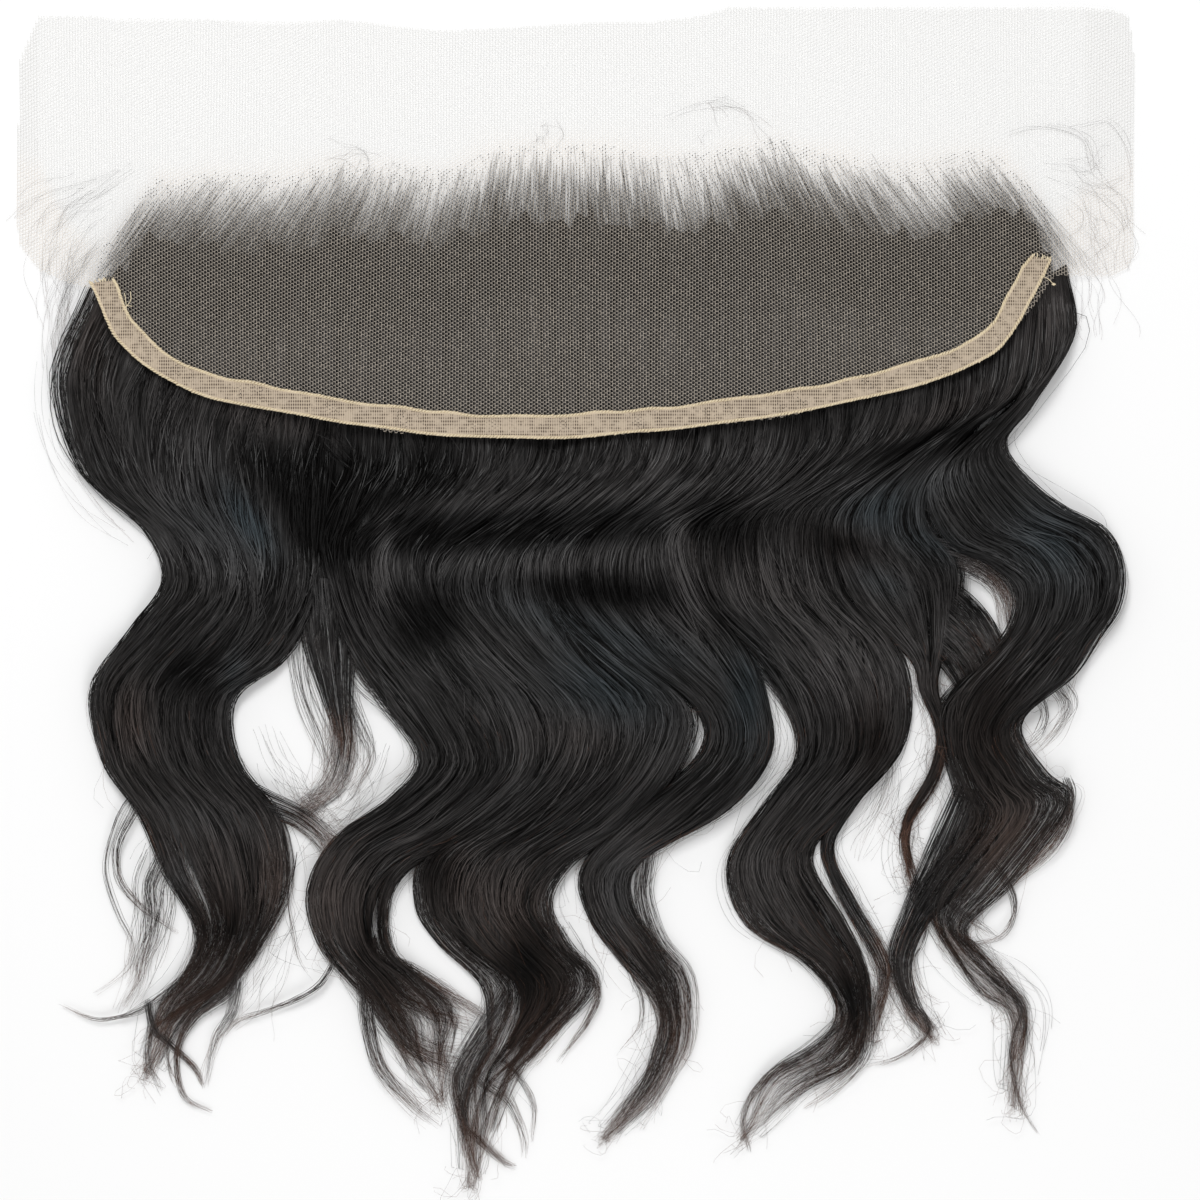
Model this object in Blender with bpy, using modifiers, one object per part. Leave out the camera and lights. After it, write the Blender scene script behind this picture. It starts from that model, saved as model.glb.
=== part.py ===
"""A lace frontal hairpiece lying flat, with the inside of its lace up.

A sheet of net slopes from the surface up over a bed of hair roots. A ribbon is sewn on it along its
curved back edge. The hair leaves the lace behind the ribbon and parts into waved locks.
X runs along the hairline, +Y from the tips of the hair to the front of the lace, and +Z up.
The origin is at the middle of the base, on the surface that the piece lies on.
"""
import math
from collections import namedtuple

import bmesh
import bpy
import numpy as np

MM = 0.001  # the tables and sizes below are in millimetres

OBJECT_NAME = "lace_frontal_hairpiece"

# Lace and ribbon
LACE_THICKNESS = 1.0
RIBBON_THICKNESS = 1.0
GAP = 0.3  # between one piece and the next
LACE_LIFT = 0.2  # the margin's underside over the surface that it lies on
RIPPLE = 0.5  # how high the margin ripples
RIPPLE_LENGTH = 46.0
RIPPLE_SLANT = 0.35  # how far a ripple leans along X for each step along Y
RIPPLE_RUN = 20.0  # the ripples reach their full height this far in front of the bed
RIPPLE_FREE_HALF_WIDTH = 55.0  # the middle of the margin lies flat
MARGIN_SHARES = (0, 0.35, 0.7)  # rows of places from the lace's front edge towards the hairline
BED_SHARES = (0, 0.2, 0.45, 0.72)  # and from the hairline towards the ribbon

# The bed of hair under the lace
BED_HEIGHT = 11.0
BED_FRONT_Y = 148.0  # the bed starts to rise here
BED_FULL_DEPTH = 81.0  # and is at its full height this far behind it
BED_POWER = 1.2  # above 1, the rise starts gently
BED_SIDE_START = 145.0  # it falls away from this X
BED_SIDE_END = 187.0  # and has gone at this one
BED_EDGE = 0.6  # its thickness at the hairline
BED_EDGE_RUN = 9.0  # the lace comes down to the surface this far in front of the hairline
BED_SINK = 2.0  # how far the bed stops short of the ribbon's back edge
LOCK_DROP = 1.1  # the locks lie this far below the bed's surface as they leave it
SWELL_START = 14.0  # how far behind the ribbon they may start to rise
SWELL_SLOPE = 1.0  # and how fast

# Locks
LOCK_CORNER = 2.5  # exponent of a lock's rounded section, where 2 is an ellipse
LOCK_BELLY = 0.3  # the widest level of a section, as a share of its height
LOCK_ANGLES = (0, 24, 52, 90, 128, 156, 180, 222, 270, 318)  # degrees round a section
LOCK_STEPS = 3  # sections made for each row of a lock's table
LOCK_LOW = 0.07  # each lock's underside is this much higher than the last one's
LOCK_LEAST = 0.2  # half of the least thickness that the lace leaves a lock

# Finish
NET_COLOUR = (0.80, 0.77, 0.70)
NET_ROUGHNESS = 0.8
RIBBON_COLOUR = (0.62, 0.50, 0.33)
RIBBON_ROUGHNESS = 0.75
HAIR_COLOUR = (0.018, 0.014, 0.013)
HAIR_ROUGHNESS = 0.4
SHARP_ANGLE = 40.0  # edges sharper than this are not shaded smooth

# A row for each station across the piece, from its left end to its right: X, then the Y of the lace's
# front edge, of the hairline, of the ribbon's front edge and of its back edge.
Station = namedtuple("Station", "x front hairline ribbon_front ribbon_back")
STATIONS = [Station(*row) for row in (
    (-193, 141, 136, 132, 129),
    (-192, 182, 148, 129, 119),
    (-185, 198, 145, 121, 110),
    (-176, 198, 126, 111, 106),
    (-166, 198, 116, 106, 103),
    (-164, 198, 118, 106, 98),
    (-159, 197, 122, 106, 90),
    (-154, 197, 129, 99, 83),
    (-145, 197, 141, 85, 75),
    (-129, 197, 144, 75, 67),
    (-112, 196, 143, 71, 63),
    (-95, 196, 144, 68, 60),
    (-81, 197, 148, 66, 58),
    (-64, 195, 147, 62, 54),
    (-47, 193, 145, 61, 53),
    (-26, 194, 152, 60, 52),
    (-9, 195, 154, 60, 52),
    (9, 196, 153, 61, 53),
    (26, 196, 151, 62, 54),
    (43, 198, 150, 64, 56),
    (53, 201, 153, 65, 57),
    (71, 201, 155, 67, 59),
    (88, 201, 151, 71, 63),
    (105, 201, 147, 76, 68),
    (123, 201, 149, 80, 71),
    (139, 201, 151, 88, 78),
    (147, 201, 150, 95, 83),
    (153, 201, 144, 103, 92),
    (159, 201, 136, 112, 99),
    (162, 201, 132, 112, 104),
    (165, 201, 126, 111, 108),
    (174, 201, 135, 117, 108),
    (185, 200, 141, 119, 108),
    (191, 198, 145, 122, 111),
    (193, 182, 152, 129, 115),
)]
RIBBON_FIRST, RIBBON_LAST = 4, 30  # the stations at the ribbon's cut ends

# A row for each section of a lock, from its root to its tip: where its left and right edges lie, and how
# thick the lock is there. The rows stand at the crests of the waves and halfway between them.
Section = namedtuple("Section", "left_x left_y right_x right_y height")
LOCKS = {
    "under_layer": (
        (-165, 100, 164, 103, 4),
        (-176, 79, 168, 85, 6.5),
        (-174, 55, 147, 55, 7),
        (-162, 34, 147, 38, 7),
        (-145, 16, 150, 24, 7),
        (-139, 3, 122, 5, 7),
        (-136, -5, 98, -5, 5),
    ),
    "far_left": (
        (-165, 103, -98, 66, 9),
        (-178, 74, -91, 41, 11),
        (-170, 42, -85, 21, 12),
        (-148, 21, -86, 3, 12),
        (-141, 3, -92, -11, 12),
        (-152, -13, -102, -25, 11),
        (-166, -34, -118, -38, 11),
        (-162, -59, -116, -59, 11),
        (-150, -77, -102, -78, 10),
        (-141, -98, -96, -100, 9),
        (-130, -116, -102, -117, 7),
        (-133, -133, -116, -135, 5.5),
        (-141, -152, -133, -157, 4),
        (-145, -171, -142, -171, 2),
    ),
    "far_left_tip": (
        (-137, -128, -124, -136, 5),
        (-147, -141, -141, -146, 4),
        (-160, -150, -158, -154, 3),
        (-171, -148, -171, -150, 1.5),
    ),
    "left_bridge": (
        (-110, -77, -106, -68, 7),
        (-98, -81, -94, -75, 6),
        (-89, -88, -85, -82, 6),
        (-85, -95, -78, -90, 6),
    ),
    "left_wisp": (
        (-96, 5, -77, 3, 9),
        (-94, -17, -76, -19, 6.5),
        (-87, -38, -77, -39, 4.5),
        (-83, -53, -77, -55, 3.5),
        (-87, -67, -81, -69, 3),
        (-95, -74, -92, -77, 2),
    ),
    "left": (
        (-102, 68, -33, 60, 9),
        (-95, 48, -37, 38, 12),
        (-89, 24, -45, 16, 13.5),
        (-85, 0, -42, -3, 12.5),
        (-78, -21, -29, -21, 12),
        (-66, -40, -12, -38, 12),
        (-54, -58, -10, -62, 12),
        (-64, -72, -36, -85, 11),
        (-83, -86, -56, -95, 10),
        (-92, -104, -64, -107, 10),
        (-88, -122, -63, -124, 9),
        (-77, -136, -52, -134, 7.5),
        (-66, -151, -42, -145, 6),
        (-58, -164, -44, -159, 4),
        (-49, -175, -45, -172, 2),
    ),
    "centre_left": (
        (-41, 61, 12, 59, 9),
        (-47, 38, 9, 38, 12.5),
        (-54, 16, 2, 13, 13.5),
        (-50, -3, 5, -4, 13),
        (-36, -21, 18, -21, 12.5),
        (-19, -40, 40, -40, 12.5),
        (-17, -60, 36, -61, 12),
        (-33, -78, 20, -80, 11.5),
        (-52, -92, -1, -94, 11),
        (-54, -109, -9, -108, 10),
        (-46, -122, -3, -121, 9),
        (-31, -137, 7, -136, 7.5),
        (-31, -155, -10, -155, 5.5),
        (-39, -172, -23, -172, 4),
        (-38, -200, -33, -201, 2),
    ),
    "centre_right": (
        (5, 59, 59, 65, 9),
        (2, 38, 53, 40, 12.5),
        (-3, 14, 46, 16, 13.5),
        (0, -3, 49, -3, 13),
        (16, -21, 59, -19, 12.5),
        (42, -41, 66, -38, 12.5),
        (42, -58, 67, -57, 11.5),
        (16, -80, 53, -77, 11),
        (-1, -97, 24, -94, 9),
        (1, -113, 22, -109, 8),
        (13, -128, 30, -124, 7),
        (26, -141, 39, -140, 6),
        (28, -157, 39, -157, 5),
        (20, -175, 28, -177, 3.5),
        (9, -188, 12, -190, 2),
    ),
    "right": (
        (52, 63, 105, 75, 9),
        (47, 41, 99, 48, 12.5),
        (40, 17, 91, 22, 13.5),
        (44, -3, 96, 1, 13),
        (59, -22, 109, -17, 12.5),
        (70, -40, 115, -34, 12.5),
        (73, -57, 112, -55, 11.5),
        (64, -73, 95, -75, 10),
        (53, -94, 81, -92, 9),
        (59, -115, 92, -113, 8.5),
        (80, -129, 100, -130, 7.5),
        (91, -145, 101, -148, 6),
        (83, -158, 96, -163, 5),
        (67, -168, 78, -173, 3.5),
        (59, -186, 61, -187, 2),
    ),
    "right_thin": (
        (95, -62, 114, -52, 8),
        (87, -80, 95, -77, 5.5),
        (85, -92, 89, -90, 5),
        (92, -108, 96, -106, 5),
        (102, -126, 107, -125, 4.5),
        (105, -136, 108, -136, 4),
        (101, -152, 103, -152, 2),
    ),
    "inner_right": (
        (98, 72, 135, 82, 8),
        (93, 47, 133, 52, 11),
        (86, 20, 126, 27, 12.5),
        (95, -3, 135, 8, 12),
        (109, -17, 130, -15, 10),
        (117, -26, 126, -26, 7),
        (119, -35, 125, -35, 5),
        (125, -50, 129, -49, 4),
        (122, -64, 126, -66, 3.5),
        (114, -79, 117, -81, 3),
        (113, -90, 115, -90, 2.5),
        (116, -103, 118, -102, 2),
    ),
    "far_right": (
        (122, 78, 171, 110, 7),
        (122, 52, 172, 88, 10),
        (117, 26, 148, 49, 12.5),
        (128, 10, 164, 31, 12.5),
        (151, 0, 189, 6, 12.5),
        (143, -19, 180, -15, 12),
        (126, -39, 171, -30, 11.5),
        (127, -55, 153, -46, 11),
        (131, -69, 162, -63, 10.5),
        (134, -82, 171, -73, 10),
        (117, -103, 152, -100, 8),
        (121, -112, 135, -116, 6),
        (129, -126, 140, -124, 5),
        (141, -139, 149, -134, 4.5),
        (150, -148, 156, -147, 3.5),
        (150, -173, 153, -174, 2),
    ),
    "right_curl": (
        (131, -67, 150, -72, 8),
        (121, -90, 141, -97, 7),
        (113, -110, 124, -112, 6),
        (108, -128, 116, -128, 5),
        (114, -145, 118, -143, 3.5),
        (121, -153, 123, -152, 2),
    ),
}


def clear_scene():
    for scene_object in list(bpy.data.objects):
        bpy.data.objects.remove(scene_object, do_unlink=True)


def make_collection(name):
    collection = bpy.data.collections.new(name)
    bpy.context.scene.collection.children.link(collection)
    return collection


def make_material(name, colour, roughness):
    material = bpy.data.materials.new(name)
    material.use_nodes = True
    shader = material.node_tree.nodes["Principled BSDF"]
    shader.inputs["Base Color"].default_value = (*colour, 1)
    shader.inputs["Roughness"].default_value = roughness
    shader.inputs["Metallic"].default_value = 0
    return material


def lace_material():
    return make_material("cream_net", NET_COLOUR, NET_ROUGHNESS)


def ribbon_material():
    return make_material("beige_ribbon", RIBBON_COLOUR, RIBBON_ROUGHNESS)


def hair_material():
    return make_material("dark_hair", HAIR_COLOUR, HAIR_ROUGHNESS)


def bed_height(x, y):
    """The height of the bed of hair under the lace at a place, in millimetres.

    It rises as a quarter sine wave from the hairline to its full depth, and a half cosine wave takes it
    down past the two ends of the ribbon. Its edge tapers off in front of the hairline.
    """
    depth = np.clip((BED_FRONT_Y - y) / BED_FULL_DEPTH, 0, 1)
    side = np.clip((abs(x) - BED_SIDE_START) / (BED_SIDE_END - BED_SIDE_START), 0, 1)
    rise = np.sin(depth * math.pi / 2) ** BED_POWER
    hairline = np.interp(x, [s.x for s in STATIONS], [s.hairline for s in STATIONS])
    edge = np.clip((hairline + BED_EDGE_RUN - y) / BED_EDGE_RUN, 0, 1)
    return (BED_HEIGHT - BED_EDGE) * rise * (1 + np.cos(side * math.pi)) / 2 + BED_EDGE * edge


def ripple(x, y):
    """The height of the bare margin's ripples: none in its middle or over the bed."""
    free = np.clip((abs(x) - RIPPLE_FREE_HALF_WIDTH) / RIPPLE_LENGTH, 0, 1)
    ahead = np.clip((y - BED_FRONT_Y) / RIPPLE_RUN, 0, 1)
    wave = 1 + np.sin(2 * math.pi * (x + RIPPLE_SLANT * y) / RIPPLE_LENGTH)
    return RIPPLE * free * ahead * wave


def ribbon_back(x):
    return np.interp(x, [s.x for s in STATIONS], [s.ribbon_back for s in STATIONS])


def hair_ceiling(x, y):
    """How high hair may reach: the bed's height under the lace, and more with each step clear of it."""
    clear = np.maximum(ribbon_back(x) - y - SWELL_START, 0)
    return bed_height(x, y) - LOCK_DROP + SWELL_SLOPE * clear


def link_mesh(name, mesh, collection, material):
    mesh.materials.append(material)
    mesh.shade_smooth()
    mesh.set_sharp_from_angle(angle=math.radians(SHARP_ANGLE))
    new_object = bpy.data.objects.new(name, mesh)
    collection.objects.link(new_object)
    return new_object


def grid_mesh(name, points):
    """A mesh from an array of points in rows and columns, in millimetres."""
    rows, columns = points.shape[:2]
    index = np.arange(rows * columns).reshape(rows, columns)
    corners = (index[:-1, :-1], index[1:, :-1], index[1:, 1:], index[:-1, 1:])
    faces = np.stack(corners, axis=-1).reshape(-1, 4)
    mesh = bpy.data.meshes.new(name)
    mesh.from_pydata((points.reshape(-1, 3) * MM).tolist(), [], faces.tolist())
    return mesh


def across_station(station, margin_shares):
    """The Y of each row of places at a station, from the lace's front edge to behind the ribbon."""
    margin = [station.front + (station.hairline - station.front) * share for share in margin_shares]
    bed = [station.hairline + (station.ribbon_front - station.hairline) * share for share in BED_SHARES]
    return margin + bed + [station.ribbon_front, station.ribbon_back]


def lace_rows():
    """Places of the lace's grid: a row for each station, in millimetres, with the bed's height as Z."""
    grid = []
    for station in STATIONS:
        ys = np.array(across_station(station, MARGIN_SHARES))
        xs = np.full(len(ys), float(station.x))
        grid.append(np.stack([xs, ys, bed_height(xs, ys) + ripple(xs, ys)], axis=-1))
    return np.array(grid)


def add_wall(new_object, thickness):
    """Thickens an open sheet upwards."""
    wall = new_object.modifiers.new("wall", "SOLIDIFY")
    wall.thickness = thickness * MM
    wall.offset = 1
    wall.use_even_offset = False
    wall.use_quality_normals = True


def make_lace(collection):
    points = lace_rows()
    points[..., 2] += LACE_LIFT
    mesh = grid_mesh("lace", points)
    turn_up(mesh)
    lace = link_mesh("lace", mesh, collection, lace_material())
    add_wall(lace, LACE_THICKNESS)
    return lace


def turn_up(mesh):
    """Turns the faces of an open sheet to look upwards."""
    shape = bmesh.new()
    shape.from_mesh(mesh)
    bmesh.ops.recalc_face_normals(shape, faces=shape.faces)
    if sum(face.normal.z for face in shape.faces) < 0:
        bmesh.ops.reverse_faces(shape, faces=shape.faces)
    shape.to_mesh(mesh)
    shape.free()


def make_ribbon(collection):
    """The ribbon covers the lace's last two rows of places, between its cut ends."""
    points = lace_rows()[RIBBON_FIRST:RIBBON_LAST + 1, -2:]
    points[..., 2] += LACE_LIFT + LACE_THICKNESS + GAP
    mesh = grid_mesh("edge_tape", points)
    turn_up(mesh)
    ribbon = link_mesh("edge_tape", mesh, collection, ribbon_material())
    add_wall(ribbon, RIBBON_THICKNESS)
    return ribbon


def loft_mesh(name, rings):
    """A closed mesh through rings of equally many points, in millimetres, capped at both ends."""
    count, around = rings.shape[:2]
    index = np.arange(count * around).reshape(count, around)
    after = np.roll(index, -1, axis=1)
    corners = (index[:-1], after[:-1], after[1:], index[1:])
    faces = np.stack(corners, axis=-1).reshape(-1, 4).tolist()
    faces += [index[0].tolist(), index[-1].tolist()]
    mesh = bpy.data.meshes.new(name)
    mesh.from_pydata((rings.reshape(-1, 3) * MM).tolist(), [], faces)
    shape = bmesh.new()
    shape.from_mesh(mesh)
    bmesh.ops.recalc_face_normals(shape, faces=shape.faces)
    shape.to_mesh(mesh)
    shape.free()
    return mesh


def make_bed(collection, material):
    """The roots under the lace: flat below, and the bed's shape above, a section at each station."""
    rings = []
    for station in STATIONS[RIBBON_FIRST:RIBBON_LAST + 1]:
        back = station.ribbon_back + BED_SINK
        ys = np.array(across_station(station, ())[:-1] + [back])
        xs = np.full(len(ys), float(station.x))
        over = np.stack([xs, ys, bed_height(xs, ys) + LACE_LIFT - GAP], axis=-1)
        under = over[[-1, 0]] * (1, 1, 0)
        rings.append(np.concatenate([over, under]))
    return link_mesh("hair", loft_mesh("hair", np.array(rings)), collection, material)


def smooth_rows(rows, steps):
    """Rows of numbers through the given rows, on a Catmull-Rom curve with some steps for each row."""
    rows = np.array(rows, float)
    rows = np.concatenate([[2 * rows[0] - rows[1]], rows, [2 * rows[-1] - rows[-2]]])
    share = np.arange(steps)[:, None] / steps
    made = []
    for before, start, end, after in zip(rows, rows[1:], rows[2:], rows[3:]):
        bend = 2 * before - 5 * start + 4 * end - after
        twist = 3 * start - before - 3 * end + after
        made.append(start + share / 2 * ((end - before) + share * (bend + share * twist)))
    made.append(rows[-2:-1])
    return np.concatenate(made)


def lock_rings(rows, low):
    """The rings of a lock: rounded sections between its two edges, kept under the lace.

    A section is a superellipse, taller above its belly than below it, so that the lock lies on a
    nearly flat underside.
    """
    table = smooth_rows(rows, LOCK_STEPS)
    left, right, height = table[:, 0:2], table[:, 2:4], table[:, 4]
    angle = np.radians(LOCK_ANGLES)
    cosine, sine = np.cos(angle), np.sin(angle)
    across = np.sign(cosine) * np.abs(cosine) ** (2 / LOCK_CORNER)
    up = np.sign(sine) * np.abs(sine) ** (2 / LOCK_CORNER)
    middle, half = (left + right) / 2, (right - left) / 2
    places = middle[:, None] + half[:, None] * across[None, :, None]
    belly = low + LOCK_BELLY * height
    above = belly[:, None] + (height - belly)[:, None] * up
    below = belly[:, None] + (belly - low)[:, None] * up
    level = np.where(up > 0, above, below)
    ceiling = hair_ceiling(places[..., 0], places[..., 1])
    level = np.minimum(level, np.maximum(ceiling, low + LOCK_LEAST * (1 + up)))
    return np.concatenate([places, level[..., None]], axis=-1)


def make_locks(collection, material):
    for number, (name, rows) in enumerate(LOCKS.items(), start=1):
        rows = [Section(*row) for row in rows]
        mesh = loft_mesh(name, lock_rings(rows, number * LOCK_LOW))
        lock = link_mesh(name, mesh, collection, material)
        lock.hide_render = True
        lock.display_type = "WIRE"


def make_hair(collection, cutters):
    """The roots with every lock fused to them."""
    material = hair_material()
    make_locks(cutters, material)
    hair = make_bed(collection, material)
    fuse = hair.modifiers.new("locks", "BOOLEAN")
    fuse.operation = "UNION"
    fuse.solver = "EXACT"
    fuse.operand_type = "COLLECTION"
    fuse.collection = cutters
    fuse.use_self = True
    return hair


def build():
    clear_scene()
    parts = make_collection(OBJECT_NAME)
    cutters = make_collection("lock_shapes")
    make_lace(parts)
    make_ribbon(parts)
    make_hair(parts, cutters)


build()
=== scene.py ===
"""A lace frontal hairpiece laid flat, with the inside of its lace up.

Lengths in the tables and sizes are in millimetres. X runs along the hairline, +Y from the tips of the
hair to the front of the lace, and +Z up from the table.
"""
import math

import bpy
import numpy as np
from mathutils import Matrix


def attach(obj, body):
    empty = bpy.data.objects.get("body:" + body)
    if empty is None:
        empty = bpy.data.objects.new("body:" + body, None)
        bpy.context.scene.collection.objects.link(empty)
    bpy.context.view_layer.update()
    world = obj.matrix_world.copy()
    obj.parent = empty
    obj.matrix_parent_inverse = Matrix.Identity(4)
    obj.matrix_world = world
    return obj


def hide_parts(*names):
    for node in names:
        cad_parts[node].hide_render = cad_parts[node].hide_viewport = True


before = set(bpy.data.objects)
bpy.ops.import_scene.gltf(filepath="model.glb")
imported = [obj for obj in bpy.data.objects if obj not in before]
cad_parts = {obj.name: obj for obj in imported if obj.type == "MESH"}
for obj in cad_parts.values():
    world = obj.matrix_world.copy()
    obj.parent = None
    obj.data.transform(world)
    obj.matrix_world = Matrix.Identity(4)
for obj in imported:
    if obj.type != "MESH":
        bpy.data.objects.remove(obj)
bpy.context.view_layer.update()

# The studio: a white table under soft lamps and a bright white room, with the camera straight above, the
# way hair is photographed for a catalogue. The table is so bright that its own shade hardly shows.
MM = 0.001
CAMERA_HEIGHT = 2400.0
VIEW_WIDTH = 414.0  # what the camera sees across, at the table
VIEW_CENTRE = (8.6, -3.5)  # and where its middle is there
SENSOR_WIDTH = 36.0
TABLE_SIZE = 8000.0
TABLE_DROP = 0.2  # the table's top lies this far under the hair
TABLE_WHITE = (0.93, 0.93, 0.93)
TABLE_ROUGHNESS = 0.9
ROOM_LIGHT = 0.44
# For each lamp: where it stands, how wide it is, and its power in watts.
LAMPS = {
    "back_lamp": ((-250, 950, 1600), 700, 19.0),
    "front_lamp": ((300, -1300, 1300), 900, 10.6),
}


def new_material(name, colour, roughness):
    """A material with one Principled shader, and that shader and the node tree to build on."""
    material = bpy.data.materials.new(name)
    material.use_nodes = True
    tree = material.node_tree
    shader = tree.nodes["Principled BSDF"]
    shader.inputs["Base Color"].default_value = (*colour, 1)
    shader.inputs["Roughness"].default_value = roughness
    return material, shader, tree


def place_lamp(name, light, place):
    """Puts a lamp in the scene at a place in millimetres, turned to the middle of the table."""
    lamp = bpy.data.objects.new(name, light)
    lamp.location = [value * MM for value in place]
    lamp.rotation_euler = lamp.location.to_track_quat("Z", "Y").to_euler()
    bpy.context.scene.collection.objects.link(lamp)


table_material, _, _ = new_material("white_table", TABLE_WHITE, TABLE_ROUGHNESS)
bpy.ops.mesh.primitive_plane_add(size=TABLE_SIZE * MM, location=(0, 0, -TABLE_DROP * MM))
table = bpy.context.object
table.name = "table"
table.data.materials.append(table_material)

for lamp_name, (lamp_place, lamp_width, lamp_power) in LAMPS.items():
    light = bpy.data.lights.new(lamp_name, "AREA")
    light.size = lamp_width * MM
    light.energy = lamp_power
    place_lamp(lamp_name, light, lamp_place)

room = bpy.data.worlds.new("white_room")
room.use_nodes = True
room.node_tree.nodes["Background"].inputs["Color"].default_value = (1, 1, 1, 1)
room.node_tree.nodes["Background"].inputs["Strength"].default_value = ROOM_LIGHT
bpy.context.scene.world = room
bpy.context.scene.view_settings.view_transform = "Standard"

camera = bpy.data.objects.new("camera", bpy.data.cameras.new("camera"))
camera.data.sensor_width = SENSOR_WIDTH
camera.data.lens = SENSOR_WIDTH * CAMERA_HEIGHT / VIEW_WIDTH
camera.location = (VIEW_CENTRE[0] * MM, VIEW_CENTRE[1] * MM, CAMERA_HEIGHT * MM)
bpy.context.scene.collection.objects.link(camera)
bpy.context.scene.camera = camera

# The lace: one sheet of fine cream net, laid over the bed of hair. Long threads run from front to back
# and short ones link each to the next, in steps, so that the holes stand like bricks on end. Its front
# and sides are the bare margin that the wearer trims off.
THREAD_PITCH = 0.97  # from one long thread to the next
LINK_PITCH = 1.28  # from one link to the next, along the long threads
THREAD_WIDTH = 0.24
LINK_WIDTH = 0.31
LINK_STEP = 0.5  # each row of links starts this share of a pitch on from the last, like bricks on end,
LINK_DRIFT = 0.13  # and this much less away from the middle, where the holes so stand in slanting rows
LINK_DRIFT_AT = 70.0  # in full from this far off the middle, and less nearer to it by this power
LINK_DRIFT_POWER = 3
THREAD_STEPS = 14
THREAD_END = 0.4  # the long threads stop this far in front of the back edge
THREAD_WANDER = 0.3  # how far they stray sideways,
WANDER_ACROSS = 17.0  # by a wave that takes this much for each radian across the sheet
WANDER_ALONG = 23.0  # and this much along it
LACE_LOW = 0.8  # the net over the table
LACE_RISE = 0.8  # and how much higher it lies over the bed's own height, where the bed is full
THREAD_ROLL = 0.22  # radians: the flat threads lie nearly level
THREAD_COVER = 0.39  # the thread is clear nylon, and hides this share of what lies behind it
NET_BARE = (0.69, 0.68, 0.65)  # in front of the hairline the thread lets the white table through
NET_CREAM = (0.73, 0.64, 0.53)
NET_SHADE = (0.63, 0.56, 0.48)
NET_FOLDED = (0.60, 0.585, 0.55)
BARE_START = 0.2  # the share of the bare shade at the hairline
BARE_RUN = 6.0  # and the length over which one whole share is added to it
NET_ROUGHNESS = 0.8
NET_PATCHES = (28, 5)  # the slow patches of a greyer shade: how many to a metre, and their detail
FOLD_SHADE = 0.5  # how much a fold adds to them
SIDE_STRIP_START = 0.1805  # in metres: past this on both sides the margin is folded and looks greyer,
SIDE_STRIP_MIDDLE = -0.0045  # counted from this X
BED_HEIGHT = 11.0  # the bed of hair under the lace, at its back
BED_FRONT_Y = 148.0
BED_FULL_DEPTH = 81.0  # it is full this far behind its front
BED_POWER = 1.2
BED_SIDE_START = 145.0  # it goes down to its edge between these two, on both sides
BED_SIDE_END = 187.0
BED_EDGE = 0.6  # how high its edge is, and how far it runs out in front of the hairline
BED_EDGE_RUN = 9.0
RIPPLE = 0.5  # half the height of the bare margin's ripples
RIPPLE_LENGTH = 46.0
RIPPLE_SLANT = 0.35
RIPPLE_RUN = 20.0  # they are in full this far in front of the bed
RIPPLE_FREE_HALF_WIDTH = 55.0  # and there are none nearer to the middle than this
# A row for each station across the lace: X, then the Y of its front edge, hairline and back edge.
STATIONS = np.array([
    (-193, 141, 136, 129), (-192, 182, 148, 119), (-185, 198, 145, 110), (-176, 198, 126, 106),
    (-166, 198, 116, 103), (-164, 198, 118, 98), (-159, 197, 122, 90), (-154, 197, 129, 83),
    (-145, 197, 141, 75), (-129, 197, 144, 67), (-112, 196, 143, 63), (-95, 196, 144, 60),
    (-81, 197, 148, 58), (-64, 195, 147, 54), (-47, 193, 145, 53), (-26, 194, 152, 52),
    (-9, 195, 154, 52), (9, 196, 153, 53), (26, 196, 151, 54), (43, 198, 150, 56),
    (53, 201, 153, 57), (71, 201, 155, 59), (88, 201, 151, 63), (105, 201, 147, 68),
    (123, 201, 149, 71), (139, 201, 151, 78), (147, 201, 150, 83), (153, 201, 144, 92),
    (159, 201, 136, 99), (162, 201, 132, 104), (165, 201, 126, 108), (174, 201, 135, 108),
    (185, 200, 141, 108), (191, 198, 145, 111), (193, 182, 152, 115),
], float)
LACE_FRONT = STATIONS[:, 1].max()
LACE_BACK = STATIONS[:, 3].min()


def front_edge(x):
    return np.interp(x, STATIONS[:, 0], STATIONS[:, 1])


def hairline(x):
    return np.interp(x, STATIONS[:, 0], STATIONS[:, 2])


def back_edge(x):
    return np.interp(x, STATIONS[:, 0], STATIONS[:, 3])


def bed_height(x, y):
    """The top of the bed of hair under the lace: a quarter sine wave back from the hairline, taken down
    past the two ends of the tape by a half cosine wave, with a low edge in front of the hairline."""
    depth = np.clip((BED_FRONT_Y - y) / BED_FULL_DEPTH, 0, 1)
    side = np.clip((abs(x) - BED_SIDE_START) / (BED_SIDE_END - BED_SIDE_START), 0, 1)
    rise = np.sin(depth * math.pi / 2) ** BED_POWER * (1 + np.cos(side * math.pi)) / 2
    edge = np.clip((hairline(x) + BED_EDGE_RUN - y) / BED_EDGE_RUN, 0, 1)
    return (BED_HEIGHT - BED_EDGE) * rise + BED_EDGE * edge


def lace_height(x, y):
    """The net's height: the bed's, with a lift that grows with it, and the bare margin's ripples."""
    free = np.clip((abs(x) - RIPPLE_FREE_HALF_WIDTH) / RIPPLE_LENGTH, 0, 1)
    ahead = np.clip((y - BED_FRONT_Y) / RIPPLE_RUN, 0, 1)
    wave = 1 + np.sin(2 * math.pi * (x + RIPPLE_SLANT * y) / RIPPLE_LENGTH)
    bed = bed_height(x, y)
    return bed + LACE_LOW + LACE_RISE * bed / BED_HEIGHT + RIPPLE * free * ahead * wave


def unit(arrows):
    """Arrows made one long. A tiny number is added to their lengths, so that none is divided by zero."""
    return arrows / (np.linalg.norm(arrows, axis=-1, keepdims=True) + 1e-9)


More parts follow.
